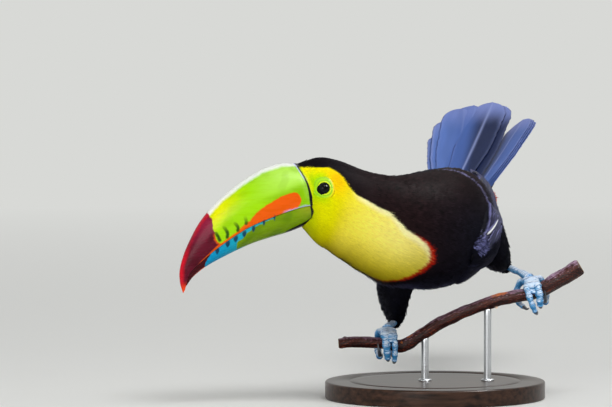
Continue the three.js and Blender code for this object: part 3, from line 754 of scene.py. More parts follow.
bill = dict(  # in the head's own frame: forward of the gape's corner, and up
    gape=(-99.3, -80, 159.6), yaw=80, pitch=21, gap=0.1, bow=1.5,
    culmen=[(-1.5, 35.6), (11, 40.2), (27.6, 41.3), (46.2, 37.8), (65.8, 31.8), (86.4, 21.4), (104, 6.2),
            (114.6, -7), (118.6, -17), (119.6, -26.5)],
    upperEdge=[(-2.5, 1, 17.5), (8, 3.7, 17.5), (21.6, 4.8, 16.8), (37.5, 4.9, 15.3), (53.2, 4.2, 13.3),
               (70, 0.9, 10.8), (86.6, -3.8, 8), (99, -8.6, 5.6), (109.6, -13.8, 3.4), (117.2, -24.5, 0.7)],
    keel=[(-1, -11.5), (12, -12.3), (25, -12.2), (39, -10.9), (54, -10), (69, -10.6), (84.6, -12),
          (97.2, -14), (107.6, -17.4), (115, -22)],
    lowerEdge=[(-2.5, 1, 16.8), (8, 3.7, 16.7), (21.6, 4.8, 15.9), (37.5, 4.9, 14.4), (53.2, 4.2, 12.5),
               (70, 0.9, 10), (86.6, -3.8, 7.2), (99, -8.6, 4.8), (109.6, -13.8, 2.7), (115.6, -20.6, 0.6)])
billOn, billLeft, billUp = axesOf(bill["yaw"], bill["pitch"])

billZones = dict(  # edges of its colours, as (forward, up), its dark strokes, and the painted shadows under the notches of its cutting edge
    tip=[(78, -2.5), (78.9, -0.8), (80.6, 2), (81.3, 5), (81, 8), (80.3, 10.5), (80.1, 14), (79, 16.5),
         (78.2, 20.2), (79, 24)],
    blazeRear=[(12.5, 3), (11.7, 5.6), (9.3, 7.2), (7.6, 10.6), (7.5, 12.8), (8.6, 15.5), (11, 17.2),
               (14, 18.5)],
    blazeTop=[(7, 16), (11, 17.2), (14.7, 17.8), (20.4, 18), (27.3, 17), (33.2, 16), (38.6, 14.9),
              (44.2, 13), (48, 11.1), (51.6, 8.8), (55.4, 8.2), (60.2, 6.1), (64.1, 4.3), (68.5, 3.3),
              (74.1, 1.7), (79.2, 0.5), (84, -1.4), (90, -3.8), (95, -5.6), (112, -14)],
    blueLow=[(29, 6), (32.4, 3.7), (36, 3.9), (40, 3.7), (43, 3.1), (46, 3.2), (50.4, 2.4), (54, 1.3),
             (57, 0.5), (61, -2.4), (65, -2.9), (66.8, -4.2), (68, -8), (69, -20)],
    blueFront=[(96, -12), (95.1, -10.1), (92.6, -7.8), (89.6, -5.7), (87, -3)],
    strokes=[[(72.6, 3), (71.4, 4.8), (70.9, 6.9), (71.6, 10), (72.6, 12.4)],
             [(62.8, 5.2), (61.9, 7.2), (62, 9.4), (63.4, 12.2)], [(54.9, 8), (54, 10.9), (53.8, 13.8)],
             [(78.6, 1.6), (78.8, 4.6), (79.2, 8), (79.8, 10)]],
    strokeWidth=1.15,
    teeth=[(32.4, 4, 0.9), (41.5, 3.5, 1.2), (50.8, 1.8, 1.6), (58.9, 0.6, 1.9), (66.5, -0.8, 2),
           (73.7, -2.3, 2), (83.2, -4.7, 1.7)],
    toothLean=0.38, toothHeight=2.6,
    root=[(4.4, -12), (4.4, -9.6), (3.4, -4.3), (1.4, 0.5), (0.7, 3), (0.4, 7.4), (-0.6, 13.1), (-1.3, 19.3),
          (-1.2, 24.9), (-0.4, 30.8), (0.3, 35.5)],
    rootWidth=[(-10, 1.3), (-5, 1.2), (-1, 1.6), (1, 2.2), (5, 1.7), (13, 1), (25, 0.6), (35, 0.35)])
billTones = palette(
    green="#9fdc00", pale="#b8ec5a", deep="#78ae00", yellow="#e6e800", orange="#ec5c00", amber="#e47a00",
    lower="#749600", lowerShade="#608400", olive="#94a020", tipTop="#8e1c3c", tipDeep="#4a0618",
    tipRed="#d41028", tipPoint="#f0480c", blue="#14a4b8", blueDeep="#0090c0", mark="#083450",
    stroke="#2a5404", black="#0a0814", lilac="#c4c2fa", maroon="#42060f", ivory="#ffffff")


def billPoint(forward, rise, left):
    # The gape's corner plus each distance along the bill's own axes, of which the first points backwards.
    return (np.array(bill["gape"]) - forward[..., None] * billOn + rise[..., None] * billUp
            + left[..., None] * billLeft)


def billGrid(edges, ridges, way, rows, columns):
    # A half of the bill: from its cutting edge to its ridge the rise is the sine of the turn and the spread
    # its cosine, both eased, and a little swollen at half height. The last columns are the flat underneath.
    t = np.linspace(0, 1, rows)[:, None] ** 1.05
    edge = curveAt(edges, t * (len(edges) - 1))
    ridge = curveAt(ridges, t * (len(ridges) - 1))
    turn = np.linspace(0, np.pi, columns)[None, :]
    rise = np.sin(turn) ** 0.9
    spread = np.sign(np.cos(turn)) * np.abs(np.cos(turn)) ** 0.85 * (1 + 0.07 * np.sin(np.pi * rise))
    bow = bill["bow"] * (1 - t) ** 6 * np.sin(np.pi * rise) * (way > 0)
    low = edge[..., 1] + way * bill["gap"] / 2
    forward = edge[..., 0] + (ridge[..., 0] - edge[..., 0]) * rise - bow
    up = low + (ridge[..., 1] - low) * rise
    return forward, up, edge[..., 2] * spread


def before(rows, forward, up):  # millimetres in front of a line given as (forward, up), whose points rise
    return forward - lineAt([row[::-1] for row in rows], up)


def soft(distance):  # 0 outside an edge and 1 inside it
    return ease(-0.3, 0.3, distance)


def fromStroke(points, forward, up):  # distance from a broken line, whose last length is thinner
    nearest = np.full(forward.shape, 99.0)
    for (f0, h0), (f1, h1) in zip(points[:-1], points[1:]):
        share = ((forward - f0) * (f1 - f0) + (up - h0) * (h1 - h0)) / ((f1 - f0)**2 + (h1 - h0)**2)
        share = np.clip(share, 0, 1)
        thin = 1 + 1.4 * share * (points[-1] == (f1, h1))
        away = np.hypot(forward - f0 - share * (f1 - f0), up - h0 - share * (h1 - h0))
        nearest = np.minimum(nearest, away * thin)
    return nearest


def billColour(forward, up, left, upper):
    # The bill's bands and patches, laid over each other by how far a point is inside each one's edge.
    place = np.stack(np.broadcast_arrays(forward, up, left), -1)
    ragged = 0.35 * wobble(place, 3.5, 21) + 0.15 * wobble(place, 1.4, 22)
    cloudy = wobble(place, 14, 23)
    zone = billZones
    fromEdge = up - lineAt(bill["upperEdge"], forward)
    fromRidge = lineAt(bill["culmen"], forward) - up
    fromKeel = up - lineAt(bill["keel"], forward)
    if upper:
        # The culmen: pale horn under a painted white highlight, white on the bird's left and pale green on
        # its right; near the tip the same mask paints it red.
        worn = ease(2.9, 0.5, fromRidge - 0.5 * ragged) * ease(106, 88, forward)
        crest = blend(billTones["pale"], billTones["ivory"], ease(-3.5, 0, left))
        underTop = lineAt(zone["blazeTop"], forward) - up
        amber = ease(40, 62, forward) * ease(2.5, 0, underTop) * 0.7
        inBlaze = np.minimum(underTop + 0.5 * ragged, before(zone["blazeRear"], forward, up) + ragged)
        colour = layered(
            billTones, "green",
            # painted highlight: the bill's top paler towards the root
            ("pale", ease(46, 8, forward) * ease(16, 27, up) * 0.9),
            ("pale", ease(5, 2, forward) * ease(4, 10, up) * 0.6),
            ("deep", ease(36, 24, forward) * ease(24, 18, up) * 0.55),
            ("yellow", ease(40, 74, forward) * ease(19, 5, fromRidge)),
            ("deep", ease(0.1, 0.9, cloudy) * 0.2),
            (crest, worn * 0.9),
            (blend(billTones["orange"], billTones["amber"], amber), soft(inBlaze)))
    else:
        inBlue = np.minimum(up - lineAt(zone["blueLow"], forward), forward - 29) + 0.6 * ragged
        strip = np.minimum(1.3 * ease(52, 68, forward) - fromKeel, forward - 52)
        blue = blend(billTones["blue"], billTones["blueDeep"], ease(58, 88, forward))
        red = ease(1.3, 0.5, fromKeel) * ease(113, 100, forward)
        colour = layered(
            billTones, "lower",
            ("lowerShade", ease(0.2, -0.8, cloudy) * 0.8),
            ("olive", ease(20, 4, forward) * ease(-9, 2, up) * 0.8),
            ("lowerShade", ease(-6, -11.5, up) * 0.5),
            (blue, soft(np.maximum(inBlue, strip))),
            (blend(billTones["maroon"], billTones["tipPoint"], red),
             soft(before(zone["blueFront"], forward, up) + 0.6 * ragged)))
    for rows in zone["strokes"] if upper else ():
        points = [tuple(row) for row in curveAt(rows, np.linspace(0, len(rows) - 1, 9))]
        inside = zone["strokeWidth"] - fromStroke(points, forward, up) + 0.4 * ragged
        faded = ease(15.5, 6.5, up) * ease(1.2, 2.6, up)
        colour = blend(colour, billTones["stroke"], ease(-0.7, 0.5, inside) * faded)
    # Under each notch of the serrated cutting edge a painted shadow, stronger on the lower half.
    for toothForward, toothUp, wide in zone["teeth"]:
        rise = (up - toothUp) / zone["toothHeight"]
        along = (forward - toothForward) + (up - toothUp) * zone["toothLean"] + 0.25 * ragged
        mark = np.hypot(along / (wide * (1 + 0.35 * rise)), rise)
        colour = blend(colour, billTones["mark"], ease(1.15, 0.6, mark) * (0.45 if upper else 0.95))
    width = lineAt(zone["rootWidth"], up)
    fromRoot = before(zone["root"], forward, up)
    dark = width - fromRoot
    if upper:
        inTip = before(zone["tip"], forward, up) + ragged
        fromPoint = before(bill["culmen"][:3:-1], forward, up)
        rim = ease(1.4, 0.5, fromEdge - 1.3 * ease(92, 79, forward))
        tip = layered(
            billTones, "tipTop",
            ("tipDeep", ease(22, 2, up) * 0.75 + 0.25 * ease(0, 0.8, cloudy)),
            ("tipRed", ease(-4.5, -0.5, fromPoint) * ease(14, -4, up)),
            ("tipRed", worn * 0.7),
            ("tipPoint", ease(-17, -25, up)),
            ("orange", rim * ease(103, 92, forward) * 0.9))
        colour = layered(
            billTones, colour,
            (tip, soft(inTip)),
            ("orange", tent(inTip, 0.5, 1.5) * ease(12, 5, up) * 0.8),
            ("lilac", ease(1.4, 0.9, fromEdge - 0.2 * ragged) * ease(27, 20, forward)),
            # a painted highlight beside the black line, on the root's raised band
            ("lilac", ease(0.55, 0.2, np.abs(fromRoot - width - 0.5)) * ease(20, 27, up) * 0.85))
    else:  # two dark lines run forward along the keel from the root: the black band's end and painted shade along the keel's edge
        for high, slope, end in ((5.6, 0.13, 27), (0.8, 0.008, 56)):
            dark = np.maximum(dark, np.minimum(high - slope * forward - fromKeel, 0.2 * (end - forward)))
    return layered(
        billTones, colour,
        ("black", soft(dark + 0.15 * ragged)),
        (tones["lores"], soft(-width - fromRoot) * ease(34, 31, up)))


def billRelief(forward, up, left, upper):
    # In mm: a raised band along the root with a furrow before it, fine lines, slow swells and, on the upper
    # half, a notch in the cutting edge over each painted notch shadow.
    fromRoot = before(billZones["root"], forward, up)
    relief = 0.22 * tent(fromRoot, 0.2, 1.8) - 0.16 * tent(fromRoot, 2.4, 0.9)
    striae = np.sin(2.6 * up + 0.9 * wobble(np.stack([forward * 0.2, up, left], -1), 6, 24))
    swells = wobble(np.stack([forward * 0.5, up, left], -1), 7, 25)
    relief = relief + 0.02 * striae * ease(2, 8, forward) + 0.04 * swells * ease(0, 6, forward)
    if upper:
        edgeUp = lineAt(bill["upperEdge"], forward)
        for toothForward, *_ in billZones["teeth"]:
            relief = relief - 0.5 * tent(forward, toothForward, 1.1) * tent(up, edgeUp, 1.6)
    return relief * ease(0, 0.02, np.minimum(up - up[:, :1], 1))


def makeBill(material):
    # Each half is its grid raised along its normals by the relief, with a floor between its cutting edges.
    for node, edges, ridges, way, rows, columns in (
            ("bill_upper", bill["upperEdge"], bill["culmen"], 1, 360, 150),
            ("bill_lower", bill["lowerEdge"], bill["keel"], -1, 300, 110)):
        forward, up, left = billGrid(edges, ridges, way, rows, columns)
        grid = billPoint(forward, up, left)
        outward = gridNormals(grid, False)
        outward = outward * np.sign((outward * (grid - billPoint(forward, 0 * up, 0 * left))).sum())
        grid = grid + outward * billRelief(forward, up, left, way > 0)[..., None]
        floor = grid[:, -1:] + (grid[:, :1] - grid[:, -1:]) * np.linspace(0, 1, 6)[1:-1][None, :, None]
        under = np.broadcast_to(billTones["maroon"], floor.shape)
        colour = np.concatenate([billColour(forward, up, left, way > 0), under], 1)
        makeShell(node + "_horn", np.concatenate([grid, floor], 1), material, (node,), colour)
    print("bill made")


def rootSurface(sign):
    # The side of the bill behind its black line: u is millimetres back from the line and v is up. The reach
    # to the side is the section's own width there, and the height is added square to it.
    def reach(forward, up):
        low = lineAt(bill["upperEdge"], forward)
        high = np.where(up > low, lineAt(bill["culmen"], forward), lineAt(bill["keel"], forward))
        rise = np.clip((up - low) / (high - low), 0, 1)
        spread = (1 - rise ** (2 / 0.9)) ** 0.425 * (1 + 0.07 * np.sin(np.pi * rise))
        return lineAt([(row[0], row[2]) for row in bill["upperEdge"]], forward) * spread

    def point(u, v, height):
        u, v, height = arrays(u, v, height)
        root = lineAt([row[::-1] for row in billZones["root"]], v)
        forward = root - lineAt(billZones["rootWidth"], v) - u
        slope = (reach(forward, v + 0.5) - reach(forward, v - 0.5)).clip(-6, 6)
        tilt = 1 / np.hypot(1, slope)
        return billPoint(forward, v - height * slope * tilt, sign * (reach(forward, v) + height * tilt))
    return point


lores = dict(area=(-0.1, 7), turns=(-9.5, 34), count=1700, barbs=3, stray=0.16, lift=0.08, vary=0.05)


def makeLores(material):
    # Fine feathers that start at the black line and lie back over the bill's root and the face.
    def tone(u, v, ragged):
        return layered(
            tones, "lores",
            ("faceTop", ease(6, 26, v)),
            ("lime", ease(0, 4, u) * tent(v, 19, 12) * 0.85),
            ("cap", ease(-0.3, 0.3, v - 33.2 + 0.4 * u + 20 * ragged)))

    for side, sign in sides.items():
        makeCoat("coat_lores_" + side, rootSurface(sign), lores,
                 lambda u, v: (2.6 + 0.25 * u, 1.1, -0.25, 0.25 + 0.05 * u, 0), tone, material)


# Eyes

eyeTones = palette(dark="#08090c", light="#171d20", rim="#08090a", pupil="#030304")


def makeEyes(material):
    # A ball of rings round the gaze, which bulges over the iris by a parabola.
    turn = np.linspace(0, 2 * np.pi, 96, endpoint=False)[None, :]
    irisEnd = 0.9  # radians from the gaze, beyond which the rings lie wider apart
    front, back = np.linspace(0.002, irisEnd, 90), np.linspace(irisEnd, np.pi - 0.01, 40)
    fromGaze = np.concatenate([front, back[1:]])[:, None]
    reach = eye["radius"] * np.sin(np.minimum(fromGaze, np.pi / 2))
    radius = eye["radius"] + eye["cornea"] * np.clip(1 - (reach / eye["iris"])**2, 0, 1) * (fromGaze < 1)
    spokes = 0.5 + 0.5 * np.sin(46 * turn + 5 * np.sin(7 * turn)) * np.cos(9 * reach)
    colour = layered(
        eyeTones, "dark",
        ("light", ease(1.9, 3.6, reach) * (0.55 + 0.35 * spokes)),
        ("rim", ease(3.9, 4.5, reach)),
        ("pupil", ease(eye["pupil"] + 0.12, eye["pupil"] - 0.06, reach)))
    for side, sign in sides.items():
        angle = onSide(eye["angle"], sign)
        middle = bodyPoint(eye["station"], angle, -eye["sunk"])
        gaze = unit(bodyPoint(eye["station"], angle, 4) - middle + np.array([0, 0, 0.6]))
        first = unit(np.cross([0, 0, 1.0], gaze))
        way = first * np.cos(turn)[..., None] + np.cross(gaze, first) * np.sin(turn)[..., None]
        way = gaze * np.cos(fromGaze)[..., None] + way * np.sin(fromGaze)[..., None]
        grid = middle + way * radius[..., None]
        makeShell("eyeball_" + side, grid, material, ("eye_" + side,), colour)
    print("eyes made")


# Legs, toes and claws

shanks = dict(
    right=[(-31, 34, 59, 2.7), (-33.5, 20, 58, 2.4), (-37, 7, 57, 2.9), (-38.5, -1, 55, 4.4)],
    left=[(57.5, 36, 103, 2.7), (63.5, 22, 101, 2.4), (71, 8, 98.5, 2.9), (75.5, -1, 95.5, 4.4)],
    scute=3.4)
toes = dict(  # radius at the root and the tip, the toe's joints, and the claw's points beyond its tip
    right=[
        ((2.7, 1.9), [(-36, 3, 53), (-33.2, 9, 51), (-32.5, 12, 43.5), (-33, 9.5, 36.5), (-33.6, 4, 33.6)],
         [(-34, -0.5, 34), (-34.6, -4, 36.4)]),
        ((2.6, 2), [(-35.6, -4, 53.5), (-33, -9.6, 50.5), (-32.2, -11.6, 43), (-32.2, -11, 36),
                    (-32.6, -9.2, 30.2)],
         [(-33, -4.4, 28.8), (-33.6, 0.4, 30.6)]),
        ((3.8, 2.5), [(-39.4, -4, 54.6), (-39.4, -10, 51), (-39, -12.2, 43.4), (-38.4, -11.6, 37),
                      (-37.8, -9.6, 32)],
         [(-37.6, -4.8, 30.4), (-37.4, -0.2, 32)]),
        ((3, 2.3), [(-42, 1.5, 53.5), (-45, 8, 51.6), (-46, 12, 45), (-45.6, 9.6, 37.4), (-44.4, 3, 33.6),
                    (-44, -5, 34.4)],
         [(-45, -9.4, 38.4), (-45.8, -9.2, 44.6)])],
    left=[
        ((2.9, 1.9), [(73, 2.5, 93.5), (68.5, 9, 92), (65.5, 12.6, 84.5), (67, 10.5, 76), (71, 4.5, 72.6)],
         [(73.4, -0.5, 71.4), (75, -4.5, 72.6)]),
        ((2.8, 2), [(73.4, -4.5, 93), (73.2, -11.2, 89), (75, -12.8, 82), (77.6, -12.2, 75),
                    (80, -10.2, 69.6)],
         [(81.2, -5.4, 68), (82, -0.6, 69.6)]),
        ((3.5, 2.4), [(78, -4, 94), (81, -11.5, 90.6), (82.8, -13.2, 84.4), (83.4, -12.6, 79),
                      (83.8, -10.8, 74.6)],
         [(84.4, -6, 73), (85, -1.2, 74.4)]),
        ((2.9, 2.1), [(79, 2, 95), (84, 9, 94.5), (88, 12.4, 89), (89, 10.4, 81), (88.4, 3.6, 77),
                      (88, -3.6, 77.4)],
         [(88, -9, 80), (87.4, -10, 87)])],
    scute=2.5, clawRoot=1.7, clawTip=0.25)
# top, side and deep are painted light and shade on the blue skin, and edge a painted highlight.
footTones = palette(top="#d2e5fb", side="#4298d2", deep="#0c5490", edge="#ffffff", pad="#7d94a8",
                    claw="#3c434c")
palms = dict(  # the fleshy pad that joins the toes' roots: its middle line and half its thickness
    right=[(-38.4, 4, 54.6, 2.2), (-38, -4, 54.4, 3), (-37, -10, 50.6, 3.1), (-36.2, -12.2, 45, 1.5)],
    left=[(74.6, 4, 95, 2.2), (76.4, -4, 94.6, 3), (78, -10.6, 90.6, 3.1), (79.4, -12.8, 84.6, 1.5)],
    scute=4.5, spread=2.1)


scutes = dict(plate=0.26, bead=0.06, wrinkle=0.07, lift=0.15, jointDip=0.5)  # heights in mm


def scuteTube(rows, scute, seed, rowCount, columns):
    # A tube ringed by scutes: each is a plate that rises by the square root of its own share and drops to
    # the next.
    frames = tubeFrames(rows, 60)
    surface = tubeSurface(frames)
    number = np.linalg.norm(np.diff(frames["line"][:, :3], axis=0), axis=1).sum() / scute
    t = np.linspace(0, 1, rowCount)[:, None]
    turn = turnsOf(columns)
    base = surface(t, turn, 0.0)
    beads, drift = wobble(base, 1.6, seed), 0.16 * wobble(base, 7, seed + 9)
    turn = np.radians(turn)
    share = (t * number + 0.14 * np.sin(turn + seed) + 0.07 * beads + drift) % 1
    joints = np.sin(np.pi * t * (len(rows) - 1)) ** 2
    wrinkle = scutes["wrinkle"] * np.sin(5 * turn + 12 * drift) * tent(share, 0.5, 0.6)
    plate = scutes["plate"] * share**0.5 * ease(0.92, 0.84, share) + scutes["bead"] * beads + wrinkle
    height = plate + scutes["lift"] - scutes["jointDip"] * joints
    return closedTube(surface, rowCount, columns, height, 0.045), share, beads


def footColour(grid, share, beads):
    # Blue skin in painted light and shade: pale where it faces up and forward, deep blue where it faces down
    # and back and in the creases between plates, a painted highlight on the plates' upper edges, grey under
    # the toes.
    outward = gridNormals(grid)
    outward = outward * np.sign((outward * (grid - grid.mean(1, keepdims=True))).sum())
    upward, forward = outward[..., 2], -outward[..., 1]
    patchy = 0.3 * wobble(grid, 5, 71)
    return layered(
        footTones, "deep",
        ("side", ease(-0.8, 0.5, upward + 0.6 * forward + patchy)),
        ("top", ease(0.3, 0.95, upward + 0.5 * forward + 0.25 * beads + patchy)),
        ("edge", tent(share, 0.72, 0.16) * ease(0, 0.8, upward + 0.5 * forward) * 0.6),
        ("deep", ease(0.82, 0.9, share) * 0.6),
        ("pad", ease(0.35, 0.95, -forward) * 0.5))


def makeFeet(skin, horn):
    # Shanks, palms and toes are scute tubes along their joints. A claw is a tube that runs to a point.
    for side in ("right", "left"):
        shank = scuteTube(shanks[side], shanks["scute"], 31, 150, 48)
        pieces = [("leg_" + side, *shank, ("shank_" + side,))]
        palm, share, beads = scuteTube(palms[side], palms["scute"], 37, 110, 60)
        middle = palm[..., :1].mean(1, keepdims=True)
        palm[..., :1] = middle + (palm[..., :1] - middle) * palms["spread"]
        pieces.append(("foot_palm_" + side, palm, share, beads, ()))
        for number, (thick, joints, claw) in enumerate(toes[side], 1):
            rows = [(*place, radius) for place, radius in zip(joints, np.linspace(*thick, len(joints)))]
            pieces.append((f"digit_{side}_{number}", *scuteTube(rows, toes["scute"], 40 + number, 170, 44),
                           (f"toe_{side}_{number}",)))
        for name, grid, share, beads, nodes in pieces:
            makeShell(name, grid, skin, nodes, footColour(grid, share, beads))
        for number, (thick, joints, claw) in enumerate(toes[side], 1):
            places = [joints[-1], *claw]
            radii = np.linspace(toes["clawRoot"], toes["clawTip"], len(places))
            rows = [(*place, radius) for place, radius in zip(places, radii)]
            narrow = -0.12 * np.cos(2 * np.radians(turnsOf(28)))  # a claw is deeper than it is wide
            grid = closedTube(tubeSurface(tubeFrames(rows, 30)), 60, 28, narrow, 0.04)
            colour = footTones["claw"] * np.linspace(1.5, 0.6, 60)[:, None, None]
            makeShell(f"talon_{side}_{number}", grid, horn, (f"claw_{side}_{number}",), colour)
    print("feet made")


# Branch

branch = dict(  # its middle line and radius
    rows=[(-77, 0, 44, 4.6), (-60, 0, 45, 4.8), (-38, 0, 43.4, 4.7), (-26, 0, 42, 5.6), (-12, 0, 50, 5.2),
          (4, 0, 60, 5.3), (28, 0, 71, 5.2), (52, 0, 79, 5.3), (77, 0, 84, 5.6), (92, 0, 91, 6.6),
          (116, 0, 105.5, 6.8)],
    knobs=[(0.03, 350, 1.1, 4), (0.245, 260, 1.5, 5), (0.5, 330, 0.5, 5), (0.682, 205, 1.6, 1.5),
           (0.87, 300, 0.8, 7)],  # share of the length, turn, height and size of each; the smallest is a bud
    # Worn patches: share of the length, turn, and how far each reaches in mm and in degrees.
    wear=[(0.70, 340, 6, 34), (0.36, 330, 4, 16), (0.40, 350, 3, 12), (0.30, 310, 2.6, 14)],
    sunk=0.4, lump=0.34, streak=0.2, grain=0.1, endNarrower=0.1)
barkTones = palette(
    bark="#46180f", dark="#160606", ridge="#96482c", bloom="#ae8ea8", worn="#c86a2c", bud="#e8c8b0",
    cut="#c9ab82", ring="#a07c50", pith="#7d5a38")


def makeBranch(bark, endWood):
    # The tube with lumps, long streaks, knobs and a bud, darker underneath with a painted lilac highlight
    # along its top (painted light and shade), and at each end a cut disc with growth rings.
    frames = tubeFrames(branch["rows"], 200)
    surface = tubeSurface(frames)
    t, turn = np.linspace(0, 1, 560)[:, None], turnsOf(120)
    base, line = surface(t, turn, 0.0), surface(t, turn, deepInside)
    outward = unit(base - line)
    up = outward[..., 2]
    length = np.linalg.norm(np.diff(frames["line"][:, :3], axis=0), axis=1).sum()
    lengthways = np.broadcast_to(t * length * 0.11, up.shape)
    streaks = wobble(np.stack([lengthways, outward[..., 1] * 6, up * 6], -1), 2.2, 51)
    lumps, mottled = wobble(base, 16, 52), wobble(base, 1.7, 56)
    height = branch["lump"] * lumps + branch["streak"] * streaks - branch["sunk"]
    height = height + branch["grain"] * wobble(base, 2.4, 53)
    # Painted light: a lilac highlight along the top, and darker bark towards the underside.
    bloom = ease(0.5, 1, up + 0.2 * lumps + 0.2 * streaks + 0.35 * mottled)
    colour = layered(
        barkTones, "dark",
        ("bark", ease(-0.9, 0.5, 0.5 * streaks + 0.8 * mottled + 0.5 * up)),
        ("ridge", ease(0.4, 1.2, 0.5 * streaks + 0.8 * mottled) * 0.7),
        ("bloom", bloom * (0.4 + 0.55 * ease(0.6, 0.9, t))))
    perDegree = 0.09  # mm round the bark
    for share, angle, rise, size in branch["knobs"]:
        away = np.hypot((t - share) * length, ((turn - angle + 180) % 360 - 180) * perDegree)
        height = height + rise * tent(away, 0, size)
        if size < 2:
            colour = blend(colour, barkTones["bud"], tent(away, 0, size) * 2 * (away < size))
    for share, angle, size, wide in branch["wear"]:
        away = np.hypot((t - share) * length / size, ((turn - angle + 180) % 360 - 180) / wide)
        colour = blend(colour, barkTones["worn"], ease(1, 0.5, away + 0.35 * wobble(base, 1.8, 54)) * 0.9)
    ends = 1 - branch["endNarrower"] * ease(0.006, 0, np.minimum(t, 1 - t))
    grid = line + (surface(t, turn, height) - line) * ends[..., None]
    makeShell("branch_bark", grid, bark, ("perch",), colour)
    for name, at, inside in (("low", 0.0, 0.02), ("high", 1.0, 0.98)):
        # Rings of points from the middle out, a hair beyond the bark's own end, rounded at the rim.
        middle = surface(at, turn, deepInside)
        on = unit(surface(at, 0, deepInside) - surface(inside, 0, deepInside))
        share = np.linspace(0.001, 1, 70)[:, None]
        rim = surface(at, turn, -branch["sunk"]) - middle
        rim = middle + rim * (1 - branch["endNarrower"]) * share[..., None]
        ripple = 0.08 * np.sin(share * 42 + 0.8 * wobble(rim, 4, 55))
        disc = rim + on * (0.25 + ripple - 0.5 * ease(0.93, 1, share))[..., None]
        wood = layered(
            barkTones, "cut",
            ("ring", ease(0, 0.07, ripple) * 0.7),
            ("pith", ease(0.12, 0.06, share)),
            ("dark", ease(0.93, 0.99, share)))
        makeShell("branch_cut_" + name, np.concatenate([disc, disc[-1:] - on * 1.5]), endWood, (),
                  np.concatenate([wood, wood[-1:]]))
    print("branch made")


# Stand

stand = dict(  # in mm; the groove is its place as a share of the base's radius, its half width and depth
    edgeRound=1.6, groove=(0.78, 0.9, 0.35), collarReach=2.2, collarHeight=1.4, bevel=0.5,
    rodBevel=0.3, sunk=0.2)


def lathe(profile, middle, columns):  # the profile's radius and height, turned round an upright line
    turn = np.radians(turnsOf(columns))
    radius, height = (np.asarray(column)[:, None] for column in zip(*profile))
    x, y = middle[0] + radius * np.cos(turn), middle[1] + radius * np.sin(turn)
    return np.stack([x, y, height + 0 * turn], -1)


def roundBox(node):  # a round solid's middle, radius, lowest and highest height in mm
    low, high = (np.array(corner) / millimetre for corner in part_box(node))
    return (low + high) / 2, (high[0] - low[0]) / 2, low[2], high[2]


def makeStand(wood, steel):
    # The base, rods and collars are profiles turned round upright lines, sized by the boxes of the solids.
    middle, radius, _, top = roundBox("stand_base")
    edge = stand["edgeRound"]
    ring, halfWidth, depth = stand["groove"]
    bend, around = np.radians(np.linspace(0, 90, 12)), np.linspace(0, np.pi, 9)
    profile = [(0.01, 0), (radius * 0.5, 0)]
    profile += [(radius - edge + edge * np.sin(a), edge - edge * np.cos(a)) for a in bend]
    profile += [(radius - edge + edge * np.cos(a), top - edge + edge * np.sin(a)) for a in bend]
    profile += [(radius * ring + halfWidth * np.cos(a), top - depth * np.sin(a)) for a in around]
    profile += [(radius * share, top) for share in (0.7, 0.5, 0.3, 0.1, 0.0001)]
    makeShell("stand_disc", lathe(profile, middle, 256), wood, ("stand_base",))
    for number in (1, 2):
        node = f"stand_rod_{number}"
        middle, radius, low, high = roundBox(node)
        profile = [(0.01, low), (radius - 0.2, low), (radius, low + stand["rodBevel"])]
        profile += [(radius, z) for z in np.linspace(low + 1, high - 0.6, 12)]
        profile += [(radius - stand["rodBevel"], high), (0.01, high)]
        makeShell(f"stand_post_{number}", lathe(profile, middle, 64), steel, (node,))
        inner, outer, upper = radius - 0.4, radius + stand["collarReach"], top + stand["collarHeight"]
        foot, bevel = top - stand["sunk"], stand["bevel"]
        profile = [(inner, foot), (outer, foot), (outer, upper - bevel), (outer - bevel, upper),
                   (inner, upper), (inner, foot)]
        grid = lathe(profile, middle, 64)
        makePiece(f"stand_collar_{number}", grid.reshape(-1, 3),
                  turnedOut(grid, [gridFaces(*grid.shape[:2], True)]), steel)
    print("stand made")


# Wing and tail feathers with a shaft and flat vanes

def layVanes(point, u, v, lie, length, width, low, high, closing, rows=13, columns=9, camber=0.07):
    # Each feather is a grid: a runs along it and b from -1 to 1 across. Its half width opens by a root,
    # stays full and closes on a round tip; the middle stands up as a ridge and the sides fall by b squared.
    a, b = np.linspace(0, 1, rows)[None, :, None], np.linspace(-1, 1, columns)[None, None, :]
    count, shape = len(u), (len(u), rows, columns)
    length, width, low, high = (perFeather(x, count) for x in (length, width, low, high))
    tipShare = np.clip((a - closing) / (1 - closing), 0, 1)
    half = (0.3 + 0.7 * ease(0, 0.3, a)) * np.sqrt(np.clip(1 - tipShare**2.4, 0.003, 1))
    frayed = chance.normal(0, 0.035, shape) * ease(0.6, 1, np.abs(b))
    x = length * (a - 0.1 * np.abs(b)**1.6 * ease(0, 0.5, a) * (1 - 0.8 * a**6))
    y = width * 0.5 * half * (b + frayed)
    height = low + (high - low) * a**0.8 + 0.22 * np.exp(-(b / 0.14)**2) * (1 - 0.7 * a)
    height = height - camber * width * b**2 * half + chance.normal(0, 0.05, shape) * np.abs(b)
    uAt, vAt = laidOn(point, u, v, lie, x, y)
    faces = (gridFaces(rows, columns) + (np.arange(count) * rows * columns)[:, None, None]).reshape(-1, 4)
    if not facesOut(point, u, v):
        faces = faces[:, ::-1]
    return point(uAt, vAt, height), faces, np.broadcast_to(a, shape), np.broadcast_to(b, shape), x, y


